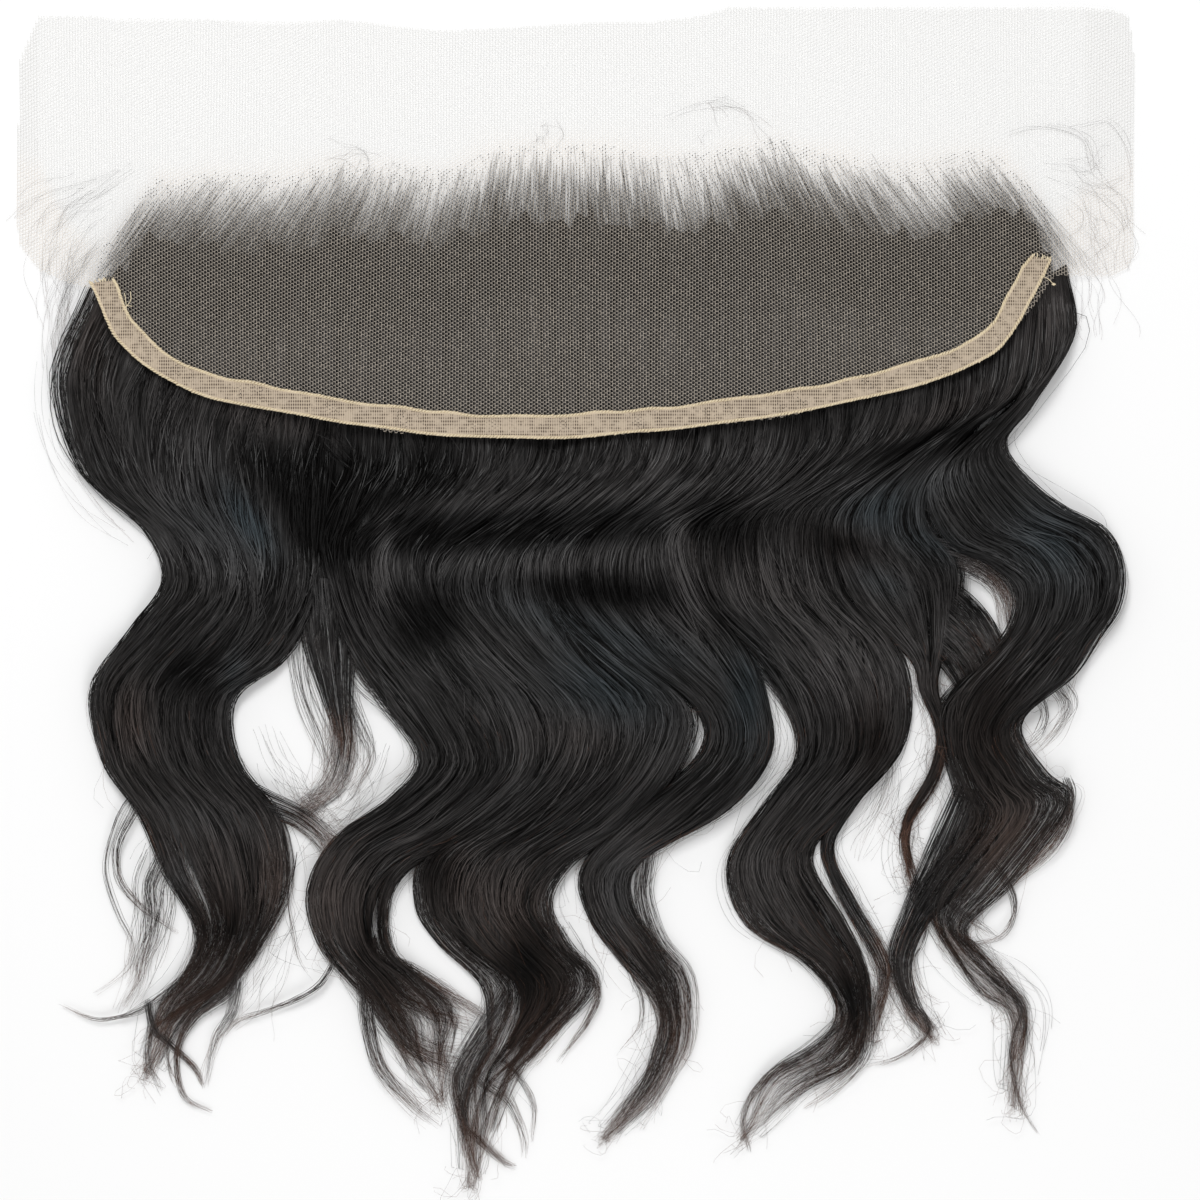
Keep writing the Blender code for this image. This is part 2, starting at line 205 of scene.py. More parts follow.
def ribbon_grid(centres, widths, rolls):
    """Flat ribbons along rows of places. A ribbon's across direction is level and square to its run,
    turned about the run by the roll. Returns two places for each place, and four-cornered faces."""
    run = unit(np.gradient(centres, axis=1))
    level = unit(np.cross(run, (0.0, 0.0, 1.0)))
    raised = np.cross(level, run)
    half = (level * np.cos(rolls)[..., None] + raised * np.sin(rolls)[..., None]) * widths[..., None] / 2
    places = np.stack([centres - half, centres + half], axis=2)
    count, steps = centres.shape[:2]
    index = np.arange(count * steps * 2).reshape(count, steps, 2)
    corners = (index[:, :-1, 0], index[:, :-1, 1], index[:, 1:, 1], index[:, 1:, 0])
    return places.reshape(-1, 3), np.stack(corners, axis=-1).reshape(-1, 4)


def new_piece(name, places, faces, material, slot, uv=None, tone=None):
    """A smooth mesh from places in millimetres and faces of four corners, riding on the one body. A
    pair of numbers for each place makes its UV map, and three more make its attribute called tone."""
    mesh = bpy.data.meshes.new(name)
    mesh.vertices.add(len(places))
    mesh.vertices.foreach_set("co", (places * MM).astype(np.float32).ravel())
    mesh.loops.add(faces.size)
    mesh.loops.foreach_set("vertex_index", faces.astype(np.int32).ravel())
    mesh.polygons.add(len(faces))
    mesh.polygons.foreach_set("loop_start", np.arange(0, faces.size, 4, dtype=np.int32))
    mesh.update(calc_edges=True)
    if uv is not None:
        layer = mesh.uv_layers.new(name="run")
        layer.data.foreach_set("uv", uv[faces.ravel()].astype(np.float32).ravel())
    if tone is not None:
        tones = mesh.attributes.new("tone", "FLOAT_VECTOR", "POINT")
        tones.data.foreach_set("vector", tone.astype(np.float32).ravel())
    mesh.materials.append(material)
    mesh.shade_smooth()
    piece = bpy.data.objects.new(name, mesh)
    bpy.context.scene.collection.objects.link(piece)
    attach(piece, "root")
    return piece


def join_faces(parts):
    """The places and faces of several meshes as one, each mesh's faces counted on from the last's."""
    starts = np.cumsum([0] + [len(places) for places, _ in parts])
    places = np.concatenate([places for places, _ in parts])
    return places, np.concatenate([faces + start for (_, faces), start in zip(parts, starts)])


def net_strayed(x, y):
    """Where a long thread at X lies at Y: it strays sideways by a slow sine wave across the sheet."""
    return x + THREAD_WANDER * np.sin(y / WANDER_ALONG + x / WANDER_ACROSS)


def on_lace(x, y):
    """Places on the net, from the X of the long thread and Y."""
    return np.stack([net_strayed(x, y), y, lace_height(net_strayed(x, y), y)], axis=-1)


def thread_columns():
    """The X of each long thread, and the Y from which its links to the next are counted. Each row of links
    starts a step on from the last, and the step shrinks away from the middle."""
    x = np.arange(STATIONS[0, 0] + THREAD_PITCH / 2, STATIONS[-1, 0], THREAD_PITCH)
    step = LINK_STEP - LINK_DRIFT * np.clip(abs(x) / LINK_DRIFT_AT, 0, 1) ** LINK_DRIFT_POWER
    return x, LACE_BACK + np.cumsum(step) % 1 * LINK_PITCH


def long_threads():
    """A ribbon down each thread of the net, from the front edge to the back edge at its X."""
    x = thread_columns()[0]
    share = np.linspace(0, 1, THREAD_STEPS)
    y = front_edge(x)[:, None] * (1 - share) + (back_edge(x)[:, None] + THREAD_END) * share
    centres = on_lace(x[:, None] + 0 * y, y)
    return ribbon_grid(centres, np.full(y.shape, THREAD_WIDTH), np.full(y.shape, THREAD_ROLL))


def link_threads():
    """A short ribbon from each long thread to the next, every link pitch."""
    x, start = (column[:-1] for column in thread_columns())
    x, y = np.meshgrid(x, np.arange(0, LACE_FRONT - LACE_BACK, LINK_PITCH), indexing="ij")
    y += start[:, None]
    after = x + THREAD_PITCH
    inside = y < np.minimum(front_edge(x), front_edge(after))
    inside &= y > np.maximum(back_edge(x), back_edge(after))
    x, y, after = x[inside], y[inside], after[inside]
    centres = np.stack([on_lace(x, y), on_lace(after, y)], axis=1)
    ends = centres.shape[:2]
    return ribbon_grid(centres, np.full(ends, LINK_WIDTH), np.full(ends, THREAD_ROLL))


def new_node(tree, kind, values=(), links=(), **settings):
    """A shader node with its settings, the values of its inputs, and what is linked to its inputs."""
    node = tree.nodes.new("ShaderNode" + kind)
    for setting, value in settings.items():
        setattr(node, setting, value)
    for key, value in dict(values).items():
        node.inputs[key].default_value = value
    for key, source in dict(links).items():
        tree.links.new(source, node.inputs[key])
    return node


def axes_of(tree, vector):
    """The three numbers of a place or another vector, by the names X, Y and Z."""
    return new_node(tree, "SeparateXYZ", (), {0: vector}).outputs


def noise(tree, place, scale, detail, roughness=0.5):
    """A soft random pattern, about 0.5, by how many patches it has to a metre of its place, how many times
    finer patches are added, and how strong each of those is for the one before."""
    values = {"Scale": scale, "Detail": detail, "Roughness": roughness}
    return new_node(tree, "TexNoise", values, {"Vector": place}).outputs["Fac"]


def worked(tree, operation, *terms, clamp=False):
    """What a Math node makes of its terms, which are numbers or other nodes' outputs."""
    values = {key: term for key, term in enumerate(terms) if isinstance(term, (int, float))}
    links = {key: term for key, term in enumerate(terms) if not isinstance(term, (int, float))}
    return new_node(tree, "Math", values, links, operation=operation, use_clamp=clamp).outputs[0]


def mixed(tree, factor, first, second):
    """A colour between two others, which are colours or other nodes' outputs."""
    colours = {"A": first, "B": second}
    values = {key: (*value, 1) for key, value in colours.items() if isinstance(value, tuple)}
    links = {key: value for key, value in colours.items() if not isinstance(value, tuple)}
    return new_node(tree, "Mix", values, {**links, "Factor": factor}, data_type="RGBA").outputs["Result"]


def net_material():
    """Clear cream thread, in soft patches of a greyer shade, and greyer past the folds at both sides. It
    is paler in front of the hairline, by its tone attribute."""
    material, shader, tree = new_material("cream_net", NET_CREAM, NET_ROUGHNESS)
    shader.inputs["Alpha"].default_value = THREAD_COVER
    place = new_node(tree, "TexCoord").outputs["Object"]
    aside = worked(tree, "SUBTRACT", axes_of(tree, place)["X"], SIDE_STRIP_MIDDLE)
    folded = worked(tree, "GREATER_THAN", worked(tree, "ABSOLUTE", aside), SIDE_STRIP_START)
    shade = worked(tree, "MULTIPLY_ADD", folded, FOLD_SHADE, noise(tree, place, *NET_PATCHES), clamp=True)
    bare = axes_of(tree, new_node(tree, "Attribute", attribute_name="tone").outputs["Vector"])["X"]
    paler = mixed(tree, folded, NET_BARE, NET_FOLDED)
    cream = mixed(tree, shade, NET_CREAM, NET_SHADE)
    tree.links.new(mixed(tree, bare, cream, paler), shader.inputs["Base Color"])
    return material


net_places, net_faces = join_faces([long_threads(), link_threads()])
net_bare = np.clip(BARE_START + (net_places[:, 1] - hairline(net_places[:, 0])) / BARE_RUN, 0, 1)
net_tone = net_bare[:, None] * (1, 0, 0)
lace = new_piece("lace_net", net_places, net_faces, net_material(), "net", None, net_tone)
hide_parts("lace")

# The edge tape: a narrow beige ribbon, woven, sewn on the lace along its curved back edge with a row of
# slanting stitches down each side. Both ends are cut and fray.
TAPE_WIDTH = 8.3
TAPE_STEPS = 380
TAPE_LIFT = 1.4  # its underside over the bed
TAPE_BEIGE = (0.47, 0.385, 0.30)
TAPE_PALE = (0.57, 0.465, 0.34)
TAPE_PIT = (0.10, 0.07, 0.045)
TAPE_RIB = 0.78  # from one rib of the weave to the next
TAPE_ROW = 1.15  # and from one row of pinholes to the next
TAPE_ROUGHNESS = 0.75
TAPE_PATCHES = (160, 6)  # the patches of its two beiges: how many to a metre, and their detail
PIT_PATCHES = (420, 3)  # and the patches where its pinholes show,
PIT_START = 0.38  # from this number of their pattern, to this one, where they are as dark as the gain says
PIT_END = 0.62
PIT_GAIN = 2.0
RIB_DARK = 0.28  # how much of the pinholes' dark the gaps between its ribs have
TAPE_RELIEF = 0.6
TAPE_RELIEF_DEPTH = 0.1
# The sewing pulls the tape's edges in and out by waves. For each wave: how much of its run goes into a
# radian, how far its phase sways, in radians, and how much of the run goes into a radian of that sway.
BACK_WANDER = 0.18
BACK_WAVE = (6.1, 0.8, 17.0)
FRONT_WANDER = 0.3
FRONT_WAVE = (3.7, 1.0, 11.0)
FRONT_SLOW_SHARE = 0.8  # a slower wave is added to the front edge's, this high for its 1
FRONT_SLOW_RUN = 9.3
PUCKER_HEIGHT = 0.09  # small puckers between the stitches, which slant over the tape
PUCKER_RUN = 1.3
PUCKER_SLANT = 0.4
SLOW_PUCKER_HEIGHT = 0.12  # and longer ones
SLOW_PUCKER_RUN = 4.3
SELVEDGE = 0.37  # the paler edges start this share of the width from its middle
STITCH_PITCH = 1.15
STITCH_LENGTH = 1.6
STITCH_THICKNESS = 0.85
STITCH_RISE = 0.62  # its middle over the tape's underside
STITCH_SLANT = 0.55  # radians from the edge's own direction
STITCH_SLANT_SPREAD = 0.12
STITCH_INSET = 0.45
STITCH_INSET_SPREAD = 0.08
STITCH_CREAM = (0.78, 0.66, 0.45)
STITCH_TURNS = (0.7, 1.12)  # the shades of its turns, for the cream's 1
STITCH_PATCHES = (1400, 2)
STITCH_ROUGHNESS = 0.6
BEAD_CLOSING = 0.9  # how nearly the spindles of a stitch close at their ends
# The tape's back edge, from its left end to its right.
TAPE_EDGE = (
    (-167, 105.5), (-160, 90), (-154, 82.5), (-145, 75), (-129.5, 67), (-112, 63), (-81, 57.5),
    (-46.5, 53), (-8.5, 51.8), (26, 54.3), (53.5, 57.3), (88, 63), (123, 71.5), (139, 78.5),
    (146.5, 83.5), (153, 92), (157, 99.5), (160.8, 107), (163.9, 113.5),
)
# The way across the tape where it is cut, at its two ends, for each millimetre of its width.
LEFT_CUT = (1.08, 0.12)
RIGHT_CUT = (-0.80, 0.17)
CUT_RUN = 7.0  # the cut's slant dies out in this length
# Across the tape and up from its underside: a thin band with a thicker selvedge down each side.
TAPE_SECTION = np.array([
    (0, 0), (0, 0.42), (0.25, 0.6), (0.9, 0.6), (1.3, 0.45), (4.15, 0.42),
    (7, 0.45), (7.4, 0.6), (8.05, 0.6), (TAPE_WIDTH, 0.42), (TAPE_WIDTH, 0),
])
PATH_FINENESS = 40  # how many places a path is measured at, for each of its points


def along_table(rows, place):
    """Rows of numbers read at any places between them, on the Catmull-Rom curve through the rows: a
    cubic in the share of the way to the next row, whose slope at a row is half the step over it."""
    rows = np.asarray(rows, float)
    padded = np.concatenate([[2 * rows[0] - rows[1]], rows, [2 * rows[-1] - rows[-2]]])
    first = np.clip(place.astype(int), 0, len(rows) - 2)
    share = (place - first)[..., None]
    before, start, end, after = (padded[first + step] for step in range(4))
    bend = 2 * before - 5 * start + 4 * end - after
    twist = 3 * start - before - 3 * end + after
    return start + share / 2 * ((end - before) + share * (bend + share * twist))


def smooth_path(points, count):
    """Evenly spaced places along the Catmull-Rom curve through the points."""
    fine = along_table(points, np.linspace(0, len(points) - 1, PATH_FINENESS * len(points)))
    length = np.concatenate([[0], np.cumsum(np.linalg.norm(np.diff(fine, axis=0), axis=1))])
    wanted = np.linspace(0, length[-1], count)
    return np.stack([np.interp(wanted, length, column) for column in fine.T], axis=-1), wanted


def tape_frame(count):
    """Places along the tape's back edge, the way along it, the way across it, turned at the two cut ends,
    and the length from its left end."""
    edge, length = smooth_path(TAPE_EDGE, count)
    run = np.gradient(edge, axis=0)
    run /= np.linalg.norm(run, axis=1, keepdims=True)
    across = np.stack([-run[:, 1], run[:, 0]], axis=-1)
    for cut, reach in ((LEFT_CUT, length), (RIGHT_CUT, length[-1] - length)):
        weight = np.clip(1 - reach / CUT_RUN, 0, 1)[:, None]
        across = across * (1 - weight) + np.array(cut) * weight
    return edge, run, across, length


def swaying_wave(length, run, sway, sway_run):
    """The sine of the length over its run, with another such sine, of the given height, in its phase."""
    return np.sin(length / run + sway * np.sin(length / sway_run))


def across_tape(edge, across, length, distance):
    """Places at a distance from the tape's back edge, whose two edges wander in and out by slow waves."""
    back = BACK_WANDER * swaying_wave(length, *BACK_WAVE)
    slow = FRONT_SLOW_SHARE * np.sin(length / FRONT_SLOW_RUN)
    front = FRONT_WANDER * (swaying_wave(length, *FRONT_WAVE) + slow)
    share = distance / TAPE_WIDTH
    return edge + across * (distance + back * (1 - share) + front * share)[..., None]


def closed_loft(rings):
    """Faces between rings of equally many places, each ring closed on itself, and rows of four-cornered
    faces over the two end rings."""
    count, around = rings.shape[:2]
    index = np.arange(count * around).reshape(count, around)
    after = np.roll(index, -1, axis=1)
    walls = np.stack([index[:-1], index[1:], after[1:], after[:-1]], axis=-1).reshape(-1, 4)
    near = np.arange((around - 1) // 2)
    far = around - 1 - near
    ends = [np.stack([ring[near], ring[near + 1], ring[far - 1], ring[far]], axis=-1)
            for ring in (index[0], index[-1][::-1])]
    ends = [end[[len(set(face)) == 4 for face in end.tolist()]] for end in ends]
    return rings.reshape(-1, 3), np.concatenate([walls] + ends)


def tape_surface():
    """The tape's section carried along its edge, on the bed, with small puckers from the stitching. Its
    UV map holds the length along it and the share of the way across."""
    edge, _, across, length = tape_frame(TAPE_STEPS)
    distance = np.broadcast_to(TAPE_SECTION[:, 0], (TAPE_STEPS, len(TAPE_SECTION)))
    flat = across_tape(edge[:, None], across[:, None], length[:, None], distance)
    pucker = PUCKER_HEIGHT * np.sin(length[:, None] / PUCKER_RUN + distance * PUCKER_SLANT)
    pucker = pucker + SLOW_PUCKER_HEIGHT * np.sin(length[:, None] / SLOW_PUCKER_RUN)
    up = bed_height(flat[..., 0], flat[..., 1]) + TAPE_LIFT + TAPE_SECTION[:, 1] + pucker
    places, faces = closed_loft(np.concatenate([flat, up[..., None]], axis=-1)[:, ::-1])
    along = np.broadcast_to(length[:, None], distance.shape)
    return places, faces, np.stack([along, distance[:, ::-1] / TAPE_WIDTH], axis=-1).reshape(-1, 2)


def stripes(tree, value, pitch):
    """A wave from 0 to 1 along a value: half of one plus its sine, with a full turn for each pitch."""
    turns = worked(tree, "MULTIPLY", value, math.tau / pitch)
    return worked(tree, "MULTIPLY_ADD", worked(tree, "SINE", turns), 0.5, 0.5)


def ramp(tree, value, start, end, top=1.0):
    """A number that goes evenly from 0, where the value is at its start, to the top, where it ends."""
    limits = {"From Min": start, "From Max": end, "To Max": top}
    return new_node(tree, "MapRange", limits, {"Value": value}).outputs[0]


def tape_material():
    """Upright ribs crossed by rows of pinholes, over slow patches of two beiges, with paler selvedges."""
    material, shader, tree = new_material("beige_ribbon", TAPE_BEIGE, TAPE_ROUGHNESS)
    place = new_node(tree, "TexCoord").outputs["Object"]
    across = axes_of(tree, new_node(tree, "UVMap", uv_map="run").outputs["UV"])["Y"]
    aside = worked(tree, "ABSOLUTE", worked(tree, "SUBTRACT", across, 0.5))
    selvedge = worked(tree, "GREATER_THAN", aside, SELVEDGE)
    axes = axes_of(tree, place)
    ribs, rows = stripes(tree, axes["X"], TAPE_RIB * MM), stripes(tree, axes["Y"], TAPE_ROW * MM)
    showing = ramp(tree, noise(tree, place, *PIT_PATCHES), PIT_START, PIT_END, PIT_GAIN)
    pits = worked(tree, "MULTIPLY", worked(tree, "MULTIPLY", ribs, rows), showing, clamp=True)
    beiges = mixed(tree, noise(tree, place, *TAPE_PATCHES), TAPE_BEIGE, TAPE_PALE)
    ribbed = mixed(tree, worked(tree, "MULTIPLY", ribs, RIB_DARK), beiges, TAPE_PIT)
    woven = mixed(tree, pits, ribbed, TAPE_PIT)
    tree.links.new(mixed(tree, selvedge, woven, TAPE_PALE), shader.inputs["Base Color"])
    depth = {"Strength": TAPE_RELIEF, "Distance": TAPE_RELIEF_DEPTH * MM}
    relief = new_node(tree, "Bump", depth, {"Height": pits}, invert=True)
    tree.links.new(relief.outputs["Normal"], shader.inputs["Normal"])
    return material


def stitch_material():
    """Pale twisted sewing thread, a little darker in its turns."""
    material, shader, tree = new_material("pale_stitches", STITCH_CREAM, STITCH_ROUGHNESS)
    turns = noise(tree, new_node(tree, "TexCoord").outputs["Object"], *STITCH_PATCHES)
    darker, paler = (tuple(part * shade for part in STITCH_CREAM) for shade in STITCH_TURNS)
    tree.links.new(mixed(tree, turns, darker, paler), shader.inputs["Base Color"])
    return material


tape_places, tape_faces, tape_uv = tape_surface()
edge_tape = new_piece("tape_band", tape_places, tape_faces, tape_material(), "ribbon", tape_uv)
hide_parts("edge_tape")


def bead_shapes(centres, runs, half_length, half_thickness):
    """Small spindles, three rings of six places each. Their girth is the root of one less the square of
    the share of the way out from their middle, as the side of a circle is."""
    ups = np.tile((0.0, 0.0, 1.0), (len(centres), 1))
    share = np.linspace(-1, 1, 3)
    angle = np.arange(6) * math.pi / 3
    girth = np.sqrt(1 - share ** 2 * BEAD_CLOSING)
    sides = np.cross(ups, runs)
    ring = (sides[:, None, None] * np.cos(angle)[None, None, :, None]
            + ups[:, None, None] * np.sin(angle)[None, None, :, None])
    rings = (centres[:, None, None] + runs[:, None, None] * (share * half_length)[None, :, None, None]
             + ring * (girth * half_thickness)[None, :, None, None])
    index = np.arange(len(centres) * 18).reshape(-1, 3, 6)
    after = np.roll(index, -1, axis=2)
    walls = np.stack([index[:, :-1], after[:, :-1], after[:, 1:], index[:, 1:]], axis=-1).reshape(-1, 4)
    ends = [ring_index[:, pick] for ring_index, picks in
            ((index[:, 0], ([0, 5, 4, 3], [0, 3, 2, 1])), (index[:, -1], ([0, 1, 2, 3], [0, 3, 4, 5])))
            for pick in picks]
    return rings.reshape(-1, 3), np.concatenate([walls] + ends)


def stitch_row(inset, rng):
    """Slanting stitches along the tape, this far in from its back edge, each a little out of line."""
    count = int(tape_frame(TAPE_STEPS)[3][-1] / STITCH_PITCH)
    edge, run, across, length = tape_frame(count)
    flat = across_tape(edge, across, length, inset + rng.normal(0, STITCH_INSET_SPREAD, count))
    up = bed_height(flat[:, 0], flat[:, 1]) + TAPE_LIFT + STITCH_RISE
    slant = rng.normal(STITCH_SLANT, STITCH_SLANT_SPREAD, (count, 1))
    runs = np.concatenate([run * np.cos(slant) + across * np.sin(slant), np.zeros((count, 1))], axis=1)
    middles = np.concatenate([flat, up[:, None]], axis=1)
    return bead_shapes(middles, runs, STITCH_LENGTH / 2, STITCH_THICKNESS / 2)


thread_rng = np.random.default_rng(5)
stitches = new_piece(
    "tape_stitches",
    *join_faces([stitch_row(STITCH_INSET, thread_rng), stitch_row(TAPE_WIDTH - STITCH_INSET, thread_rng)]),
    stitch_material(), "ribbon")

# Loose ends of thread: the tape's own threads where it was cut, and the tails of the sewing thread, one
# forked on the lace and one with a knot at its end, over the hair.
LOOSE_COUNT = 34
LOOSE_WIDTH = 0.22
LOOSE_STEPS = 6
LOOSE_INSET = 0.1  # none starts nearer to the tape's side than this
LOOSE_REACHES = (0.4, 1.5)  # how far the tape's own stick out
LOOSE_ROOT = -0.4  # where they start inside the tape, as a share of that
LOOSE_BOW = 0.5
LOOSE_RISE = 0.35  # over the tape's underside
TAIL_RISE = 0.9
# Where each tail lies, from its root to its end.
TAILS = (
    ((-154, 93), (-154.2, 98), (-154.8, 102)),
    ((-154.4, 97), (-152.6, 99.5), (-152.8, 102.5)),
    ((-155.6, 95.6), (-154.2, 97.5), (-152.2, 97.4)),
    ((159.6, 108), (162.4, 107.2), (164.6, 105.2)),
)
TAIL_KNOT_AT = (164.7, 105.1)
TAIL_KNOT_HALF_LENGTH = 0.7
TAIL_KNOT_HALF_THICKNESS = 0.55


def frayed_threads(rng):
    """Threads that stick out past the tape's two cut ends, each a short bow, aside by the square of the
    share of the way out."""
    edge, run, across, _ = tape_frame(TAPE_STEPS)
    at_start = rng.random((LOOSE_COUNT, 1)) < 0.5
    root = np.where(at_start, edge[0], edge[-1])
    outward = np.where(at_start, -run[0], run[-1])
    side = np.where(at_start, across[0], across[-1])
    flat = root + side * rng.uniform(LOOSE_INSET, TAPE_WIDTH - LOOSE_INSET, (LOOSE_COUNT, 1))
    share = np.linspace(LOOSE_ROOT, 1, LOOSE_STEPS)[None, :, None]
    reach = rng.uniform(*LOOSE_REACHES, (LOOSE_COUNT, 1, 1))
    bow = rng.normal(0, LOOSE_BOW, (LOOSE_COUNT, 1, 1))
    places = flat[:, None] + outward[:, None] * share * reach + side[:, None] * bow * share ** 2
    up = bed_height(places[..., 0], places[..., 1]) + TAPE_LIFT + LOOSE_RISE
    return np.concatenate([places, up[..., None]], axis=-1)


def tail_threads():
    """The sewing thread's tails, just over what lies under them."""
    flat = np.stack([smooth_path(tail, LOOSE_STEPS)[0] for tail in TAILS])
    up = bed_height(flat[..., 0], flat[..., 1]) + TAPE_LIFT + TAIL_RISE
    return np.concatenate([flat, up[..., None]], axis=-1)


loose = np.concatenate([frayed_threads(thread_rng), tail_threads()])
knot_up = bed_height(*TAIL_KNOT_AT) + TAPE_LIFT + TAIL_RISE
knot = bead_shapes(np.array([[*TAIL_KNOT_AT, knot_up]]), np.array([[1.0, 0, 0]]),
                   TAIL_KNOT_HALF_LENGTH, TAIL_KNOT_HALF_THICKNESS)
thread_widths = np.full(loose.shape[:2], LOOSE_WIDTH)
loose_threads = new_piece(
    "loose_threads", *join_faces([ribbon_grid(loose, thread_widths, 0 * thread_widths), knot]),
    stitch_material(), "ribbon")

# The hair's finish: fine hair, nearly black, with a faint cool sheen along it that is painted into its
# colour together with painted shade, browner where it thins out towards its tips. Its UV map holds the way
# from root to tip and the place across the lock.
HAIR_BLACK = (0.0028, 0.0025, 0.0024)
# The colours of the painted sheen: grey, and cool where the tone attribute says so.
HAIR_SHEEN = (0.072, 0.070, 0.070)
HAIR_COOL_SHEEN = (0.050, 0.068, 0.078)
HAIR_BROWN = (0.084, 0.062, 0.054)
HAIR_TIP = (0.185, 0.092, 0.06)  # single hairs let the light through, and look browner still
HAIR_ROUGHNESS = 0.36
HAIR_IOR = 1.25
STREAK_WIDTH = 100.0  # a hair's number across its lock goes up by one in this width
STREAKS_ALONG = 5  # how fast the streaks change from root to tip
STRAND_STREAKS = 70  # and across, over single hairs
MASS_STREAKS = 140  # and over a close mass, with this relief
MASS_RELIEF = 0.5
STREAK_DETAIL = (4, 0.65)  # how many finer layers the streaks have, and how strong these are
STREAK_START = 0.41  # the streaks are black below this number of their pattern, and go up to the gain
STREAK_END = 0.63
STREAK_GAIN = 2.75
BROWN_PATCHES = (14, 3)  # the slow patches of brown: how many to a metre, and their detail
BROWN_PATCH_SHARE = 0.2
TIP_START = 0.5  # the way along a hair where it starts to turn brown, and where it would end
TIP_END = 1.1
SINGLE_START = 0.78  # and where it lies so loose that the light comes through
SINGLE_END = 1.05
TONE_LEVEL = 0.27  # how light the hair's painted sheen is where no ellipse lies
TONE_RANGE = (0.02, 1.3)
# Painted sheen and painted shade: where the waves of hair catch the light or lie in shade, in soft
# ellipses. The columns are the X and Y of the middle, half the width and height, the turn in degrees, how
# much lighter or darker the painted light or shade makes the hair, and how cool the painted sheen is, or
# how brown the hair is if below 0.
SHEEN_SHADE_AND_BROWN = (
    (-77, 30, 20, 16, 0, -1, 0), (-86, 12, 7, 12, -20, -0.4, 0), (-104, 43, 18, 7, -15, -0.35, 0),
    (-47, 41, 12, 8, 0, -0.3, 0), (-12, 21, 44, 6, 4, -0.4, 0.3), (9, -1, 29, 5.5, -3, -0.45, 0),
    (-50, -12, 9, 12, -35, -0.4, 0), (50, 19, 12, 14, 0, -0.35, -0.2), (122, 50, 26, 7, 20, -0.35, 0),
    (91, 16, 13, 6, -12, -0.35, -0.6), (-131, -28, 13, 9, 10, -0.3, 0),
    (141, -45, 12, 26, 0, -0.15, -0.6), (-17, -128, 9, 18, 0, -0.3, -0.6),
    (-121, -117, 10, 9, 0, -0.2, -0.8), (102, -52, 8, 14, 0, -0.2, -0.5),
    (95, -141, 6, 12, 0, -0.3, -0.6), (-15, -83, 14, 9, 0, -0.15, 0), (40, -67, 26, 5, 12, -0.15, 0),
    (-69, -116, 5, 10, 0, -0.3, -0.6), (-155, 47, 10, 10, 0, -0.1, 0), (-45, -97, 7, 12, 0, -0.2, -0.3),
    (-124, 22, 22, 13, -35, 0.7, 0.3), (-112, 24, 15, 5, -55, 0.2, 1), (-66, 14, 3.5, 14, 0, 0.9, 0),
    (-26, 30, 46, 2.2, 3, 0.35, 0), (-60, 28, 8, 2.5, 25, 0.3, 0), (40, -6, 6, 4, -40, 0.5, 0),
    (-9, 10, 42, 3.2, 3, 0.7, 0), (37, 11, 3.5, 18, 14, 1.1, 0), (9, -14, 44, 7, -17, 0.45, 0.5),
    (-26, -34, 22, 9, -35, 0.45, 0.1), (12, -34, 22, 13, -25, 0.34, 0.9), (5, -50, 20, 8, 0, 0.25, -0.3),
    (59, -38, 7, 18, 0, 0.12, 0.9), (67, 0, 17, 9, -15, 0.6, -0.1), (95, -21, 20, 15, -25, 0.8, 0),
    (105, 3, 12, 5, -25, 0.4, 0.5), (105, 28, 16, 9, 20, 0.4, 0.8), (122, 16, 14, 6, -20, 0.3, 0.7),
    (164, 16, 18, 14, -35, 0.4, 0.8), (129, 38, 10, 7, 0, 0.35, 0.2), (-153, -45, 8, 14, 0, 0.35, -0.6),
    (150, -88, 12, 14, 0, 0.3, -0.9), (-126, -79, 20, 7, -12, 0.45, 0.3),
    (-136, -100, 7, 8, 0, 0.35, 0.6), (-103, -100, 6, 13, 0, 0.4, -0.5),
    (-84, -104, 9, 18, 0, 0.6, -0.2), (-122, -96, 8, 10, 0, 0.25, -0.1),
    (-24, -105, 12, 12, 0, 0.5, -0.2), (15, -107, 9, 19, 0, 0.5, 0.5), (-38, -100, 6, 12, 0, 0.25, -0.2),
    (66, -102, 11, 20, 25, 0.6, 0.15), (19, -88, 14, 8, 30, 0.3, 0), (-167, 86, 8, 18, 0, 0.35, -0.5),
    (-136, 55, 16, 8, -25, 0.25, 0), (162, 93, 8, 16, -25, 0.3, -0.2), (129, 62, 24, 5, 20, 0.2, -0.3),
    (57, 45, 30, 8, 0, 0.12, 0), (-117, -28, 4, 8, 0, 0.25, 0.7), (-88, 0, 5, 13, 0, 0.5, 0.1),
    (-102, 59, 22, 5, -12, 0.25, -0.3), (133, -17, 10, 6, 0, 0.35, 0.1), (26, 41, 24, 6, 0, 0.1, 0),
    (-60, -40, 6, 16, -30, 0.25, 0),
)


def painted_sheen_shade_and_brown(places):
    """The painted sheen and painted shade at the places, how cool that sheen is, and how brown the hair is
    there: a level for the light, and bell curves added over each ellipse."""
    light, cool = np.full(len(places), TONE_LEVEL), np.zeros(len(places))
    for x, y, half_width, half_height, turn, lighter, cooler in SHEEN_SHADE_AND_BROWN:
        east, north = places[:, 0] - x, places[:, 1] - y
        cosine, sine = math.cos(math.radians(turn)), math.sin(math.radians(turn))
        bell = np.exp(-((east * cosine + north * sine) / half_width) ** 2
                      - ((north * cosine - east * sine) / half_height) ** 2)
        light += lighter * bell
        cool += cooler * bell
    return np.stack([np.clip(light, *TONE_RANGE), np.clip(cool, 0, 1), np.clip(-cool, 0, 1)], axis=-1)


